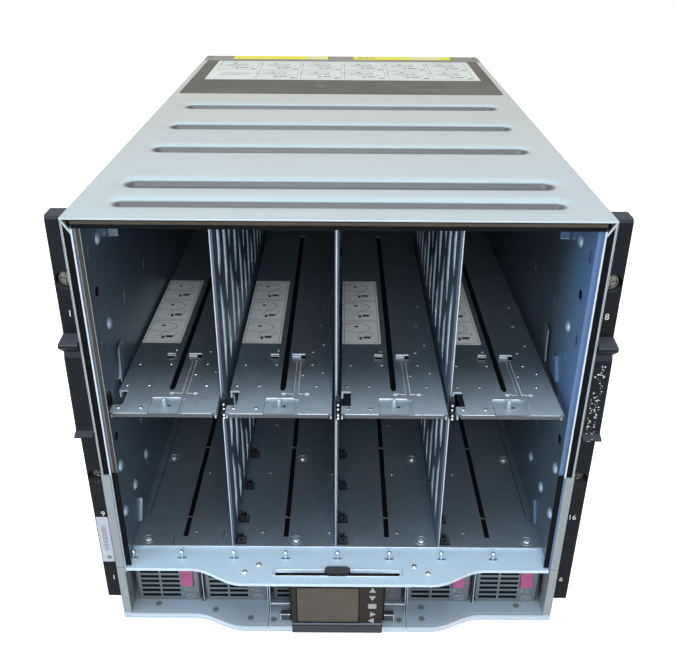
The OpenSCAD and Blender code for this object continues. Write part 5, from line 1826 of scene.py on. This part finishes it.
@dataclass
class RackEars:
    """Rack ears with their screws, plain numbers and pale tag."""

    bench: Workbench
    x: float = 232.5
    low_face: float = 11.0
    numbers: tuple[tuple[tuple[float, str], ...], ...] = (
        ((350, "1"), (131, "9"), (46.5, "1")), ((350, "8"), (130, "16"), (47.5, "6")))
    figure: float = 6.0
    screw: tuple[float, float] = (232.55, 20.8)
    screw_z: tuple[float, float] = (177, 381)
    tag_x: tuple[float, float] = (-240.6, -228.6)
    tag_z: tuple[float, float] = (68.5, 127)
    tag_rules: int = 17
    grip_x: tuple[float, float] = (227.5, 236.5)
    grip_z: tuple[float, float] = (232, 306)
    flecks: int = 80

    def build(self) -> None:
        """Dresses the ears and their screws and prints the numbers."""
        bench = self.bench
        bench.dress(MOULDING, "ear_bezels")
        bench.dress(SCREW, "rack_screws")
        upright = Matrix.Rotation(math.radians(90), 4, "X")
        for s, side, rows in zip(LEFT_RIGHT, SIDES, self.numbers):
            for z, text in rows:
                point = (s * self.x, bench.face("ear_bezels", s * self.x, z), z)
                bench.numeral(f"ear_number_{side}_{int(z)}", text, point, self.figure, upright,
                              Seat(Slot.MOULDING, WHITE_INK))
        x, y = self.screw
        bench.rings("ear_screw_washers", [((s * x, y, z), FORWARD) for s in LEFT_RIGHT for z in self.screw_z],
                    6.3, 0.6, Seat(Slot.PIN, SCREW))
        self._tag()
        self._residue()

    def _tag(self) -> None:
        """Sticks the pale tag low on the left ear, blank but for faint ruled lines."""
        bench, y = self.bench, self.low_face
        (x0, x1), (z0, z1) = self.tag_x, self.tag_z
        bench.blocks("ear_tag", [((x0, y - 0.15, z0), (x1, y + 0.05, z1))], Seat(Slot.MOULDING, PALE_TAG), bevel=0.05)
        rules = [(-234.5, y - 0.18, 84 + 1.9 * i) for i in range(self.tag_rules)]
        bench.bars("ear_tag_rules", rules, (4.6, PRINT_T, 0.8), Seat(Slot.MOULDING, INK))
        bench.studs("ear_tag_screw", [((-233.5, y - 0.15, 74.5), FORWARD)], 2.3, 0.7, Seat(Slot.PIN, INK), crown=0.5)

    def _residue(self) -> None:
        """Leaves small pale flecks of old adhesive on the right grip."""
        draw = random.Random(SEED)
        spots, sizes = [], []
        for _ in range(self.flecks):
            x, z = draw.uniform(*self.grip_x), draw.uniform(*self.grip_z)
            spots.append(((x, self.bench.face("ear_bezels", x, z), z), FORWARD))
            sizes.append(draw.uniform(0.35, 1.25))
        self.bench.studs("ear_residue_flecks", spots, 0.75, FILM_T, Seat(Slot.MOULDING, WHITE_INK), crown=0.8,
                         sides=5, sizes=sizes)


@dataclass
class RearModules:
    """Rear cage with its fans, blanks, managers and power inlets."""

    bench: Workbench
    rear_y: float = 800.0
    fan_pitch: float = 88.76
    fan_z: tuple[float, float] = (97.4, 396.8)
    fans: int = 5
    screw_half: float = 36.5

    def build(self) -> None:
        """Dresses the rear and adds its touch points and screws."""
        bench, y, half = self.bench, self.rear_y, self.screw_half
        bench.dress(REAR, "rear_cage")
        bench.dress(MODULE, "interconnect_blanks", "management_modules", "inlet_panel")
        bench.dress(FAN, "fan_frames", *[f"fan_rotor_{i}" for i in range(1, 2 * self.fans + 1)])
        centres = [((i - 2) * self.fan_pitch, z) for z in self.fan_z for i in range(self.fans)]
        corners = [((x + a, y, z + b), BACKWARD) for x, z in centres for a in (-half, half) for b in (-half, half)]
        bench.studs("fan_screws", corners, 2.3, 0.9, Seat(Slot.FAN, STEEL), crown=0.5, sides=10)
        bench.studs("fan_lamps", [((x + 26, y, z - 38.5), BACKWARD) for x, z in centres], 1.4, 0.5,
                    Seat(Slot.FAN, LAMP), crown=0.5, sides=10)
        bench.bars("fan_grip_touch_points", [(x, y + 3.2, z - 38.4) for x, z in centres], (22, 5.2, 0.6),
                   Seat(Slot.FAN, LATCH))


# ---------------------------------------------------------------------------
# Studio
# ---------------------------------------------------------------------------


@dataclass(frozen=True)
class Lamp:
    """A square soft lamp: its place and edge in metres, its watts and the linear colour of its light."""

    name: str
    place: Point
    size: float
    power: float
    colour: Point = (1.0, 1.0, 1.0)


@dataclass
class Studio:
    """Pale floor, soft lamps, white surroundings and the camera."""

    bench: Workbench
    lamps: tuple[Lamp, ...] = (
        Lamp("ceiling_lamp", (-0.3, -0.9, 3.6), 2.2, 76.0), Lamp("front_lamp", (0.0, -3.6, 1.7), 1.6, 38.0),
        Lamp("fill_lamp", (0.1, -1.5, 1.05), 0.5, 7.0),
        Lamp("window_lamp", (-3.0, -2.2, 1.4), 1.4, 48.0, (0.55, 0.78, 1.0)))
    aim: Point = (0.0, 0.0, 0.2)
    eye: Point = (3.497, -617.478, 661.102)
    pitch: float = 28.5424
    yaw: float = 0.0229
    roll: float = -0.3879
    lens: float = 43.21
    shift: tuple[float, float] = (-0.00607, 0.02588)
    floor_half: float = 14.0
    floor_gap: float = 0.0005
    floor_glow: float = 0.72
    ambient: float = 0.28

    def build(self) -> None:
        """Sets the floor, the world, the lamps and the camera."""
        self._floor()
        self._world()
        for lamp in self.lamps:
            self._hang(lamp)
        self._camera()
        bpy.context.scene.view_settings.view_transform = "Standard"

    def _hang(self, lamp: Lamp) -> None:
        """Hangs a lamp so that it looks at the chassis.

        Args:
            lamp: The lamp.
        """
        data = bpy.data.lights.new(lamp.name, "AREA")
        data.energy = lamp.power
        data.size = lamp.size
        data.color = lamp.colour
        look = Vector(self.aim) - Vector(lamp.place)
        turn = look.to_track_quat("-Z", "Y").to_matrix().to_4x4()
        link(lamp.name, data).matrix_world = Matrix.Translation(lamp.place) @ turn

    @staticmethod
    def _seen(sheet: NodeSheet) -> bpy.types.NodeSocket:
        """Tells the rays that look at a surface from those that light it.

        Args:
            sheet: Sheet of the material or the world.

        Returns:
            A socket with 1 for camera, mirror and glass rays, and 0 for the rest.
        """
        path = sheet.add("ShaderNodeLightPath").outputs
        both = sheet.math("ADD", path["Is Camera Ray"], path["Is Glossy Ray"], clamp=True)
        return sheet.math("ADD", both, path["Is Transmission Ray"], clamp=True)

    def _floor(self) -> None:
        """Lays the plain pale floor, lifted to white where the lamps leave it a little grey."""
        z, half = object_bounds()[0].z - self.floor_gap, self.floor_half
        mesh = bmesh.new()
        mesh.faces.new([mesh.verts.new((x * half, y * half, z)) for x, y in ((-1, -1), (1, -1), (1, 1), (-1, 1))])
        data = bpy.data.meshes.new("floor")
        mesh.to_mesh(data)
        mesh.free()
        floor = link("floor", data)
        material = bpy.data.materials.new("pale_floor")
        material.use_nodes = True
        sheet = NodeSheet(material.node_tree)
        shader = material.node_tree.nodes["Principled BSDF"]
        place = sheet.add("ShaderNodeTexCoord").outputs["Object"]
        tone = sheet.mix(sheet.noise(place, 1.5), (0.8, 0.8, 0.8, 1.0), (0.82, 0.82, 0.82, 1.0))
        sheet.feed(shader.inputs["Base Color"], tone)
        shader.inputs["Roughness"].default_value = 0.9
        shader.inputs["Specular IOR Level"].default_value = 0.1
        glow = sheet.add("ShaderNodeEmission",
                         {"Strength": sheet.math("MULTIPLY", self._seen(sheet), self.floor_glow)})
        both = sheet.add("ShaderNodeAddShader", {0: shader.outputs[0], 1: glow.outputs[0]})
        sheet.feed(material.node_tree.nodes["Material Output"].inputs["Surface"], both.outputs[0])
        floor.data.materials.append(material)
        floor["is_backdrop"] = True

    def _world(self) -> None:
        """Lights the scene evenly and shows white behind it."""
        world = bpy.data.worlds.new("pale_room")
        bpy.context.scene.world = world
        world.use_nodes = True
        sheet = NodeSheet(world.node_tree)
        ground = world.node_tree.nodes["Background"]
        ground.inputs["Color"].default_value = (1.0, 1.0, 1.0, 1.0)
        sheet.feed(ground.inputs["Strength"], sheet.span(self._seen(sheet), 0.0, 1.0, self.ambient))

    def _camera(self) -> None:
        """Sets the camera at the viewing angle."""
        pitch, yaw, roll = (math.radians(a) for a in (self.pitch, self.yaw, self.roll))
        ahead = Vector((math.sin(yaw) * math.cos(pitch), math.cos(yaw) * math.cos(pitch), -math.sin(pitch)))
        flat = Vector((math.cos(yaw), -math.sin(yaw), 0.0))
        down = ahead.cross(flat)
        right = flat * math.cos(roll) + down * math.sin(roll)
        below = -flat * math.sin(roll) + down * math.cos(roll)
        data = bpy.data.cameras.new("viewpoint")
        data.lens = self.lens
        data.sensor_width = 36.0
        data.sensor_fit = "HORIZONTAL"
        data.shift_x, data.shift_y = self.shift
        data.clip_start = 0.01
        data.clip_end = 100.0
        camera = link("viewpoint", data)
        turn = Matrix((right, -below, -ahead)).transposed().to_4x4()
        camera.matrix_world = Matrix.Translation(self.bench.datum.at(*self.eye)) @ turn
        bpy.context.scene.camera = camera


def main() -> None:
    """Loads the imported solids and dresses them."""
    logging.basicConfig(level=logging.INFO, format="%(name)s: %(message)s")
    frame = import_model()
    bench = Workbench(frame)
    zones = Zones()
    assemblies = [TopCover(bench), BayLiner(bench, zones), Dividers(bench, zones), BayShelves(bench, zones),
                  BladeDeck(bench, zones), FrontFrame(bench), SupplyBank(bench), DisplayUnit(bench),
                  RackEars(bench), RearModules(bench)]
    for assembly in assemblies:
        assembly.build()
        LOG.info("built %s", type(assembly).__name__)
    Studio(bench).build()


if __name__ == "__main__":
    main()
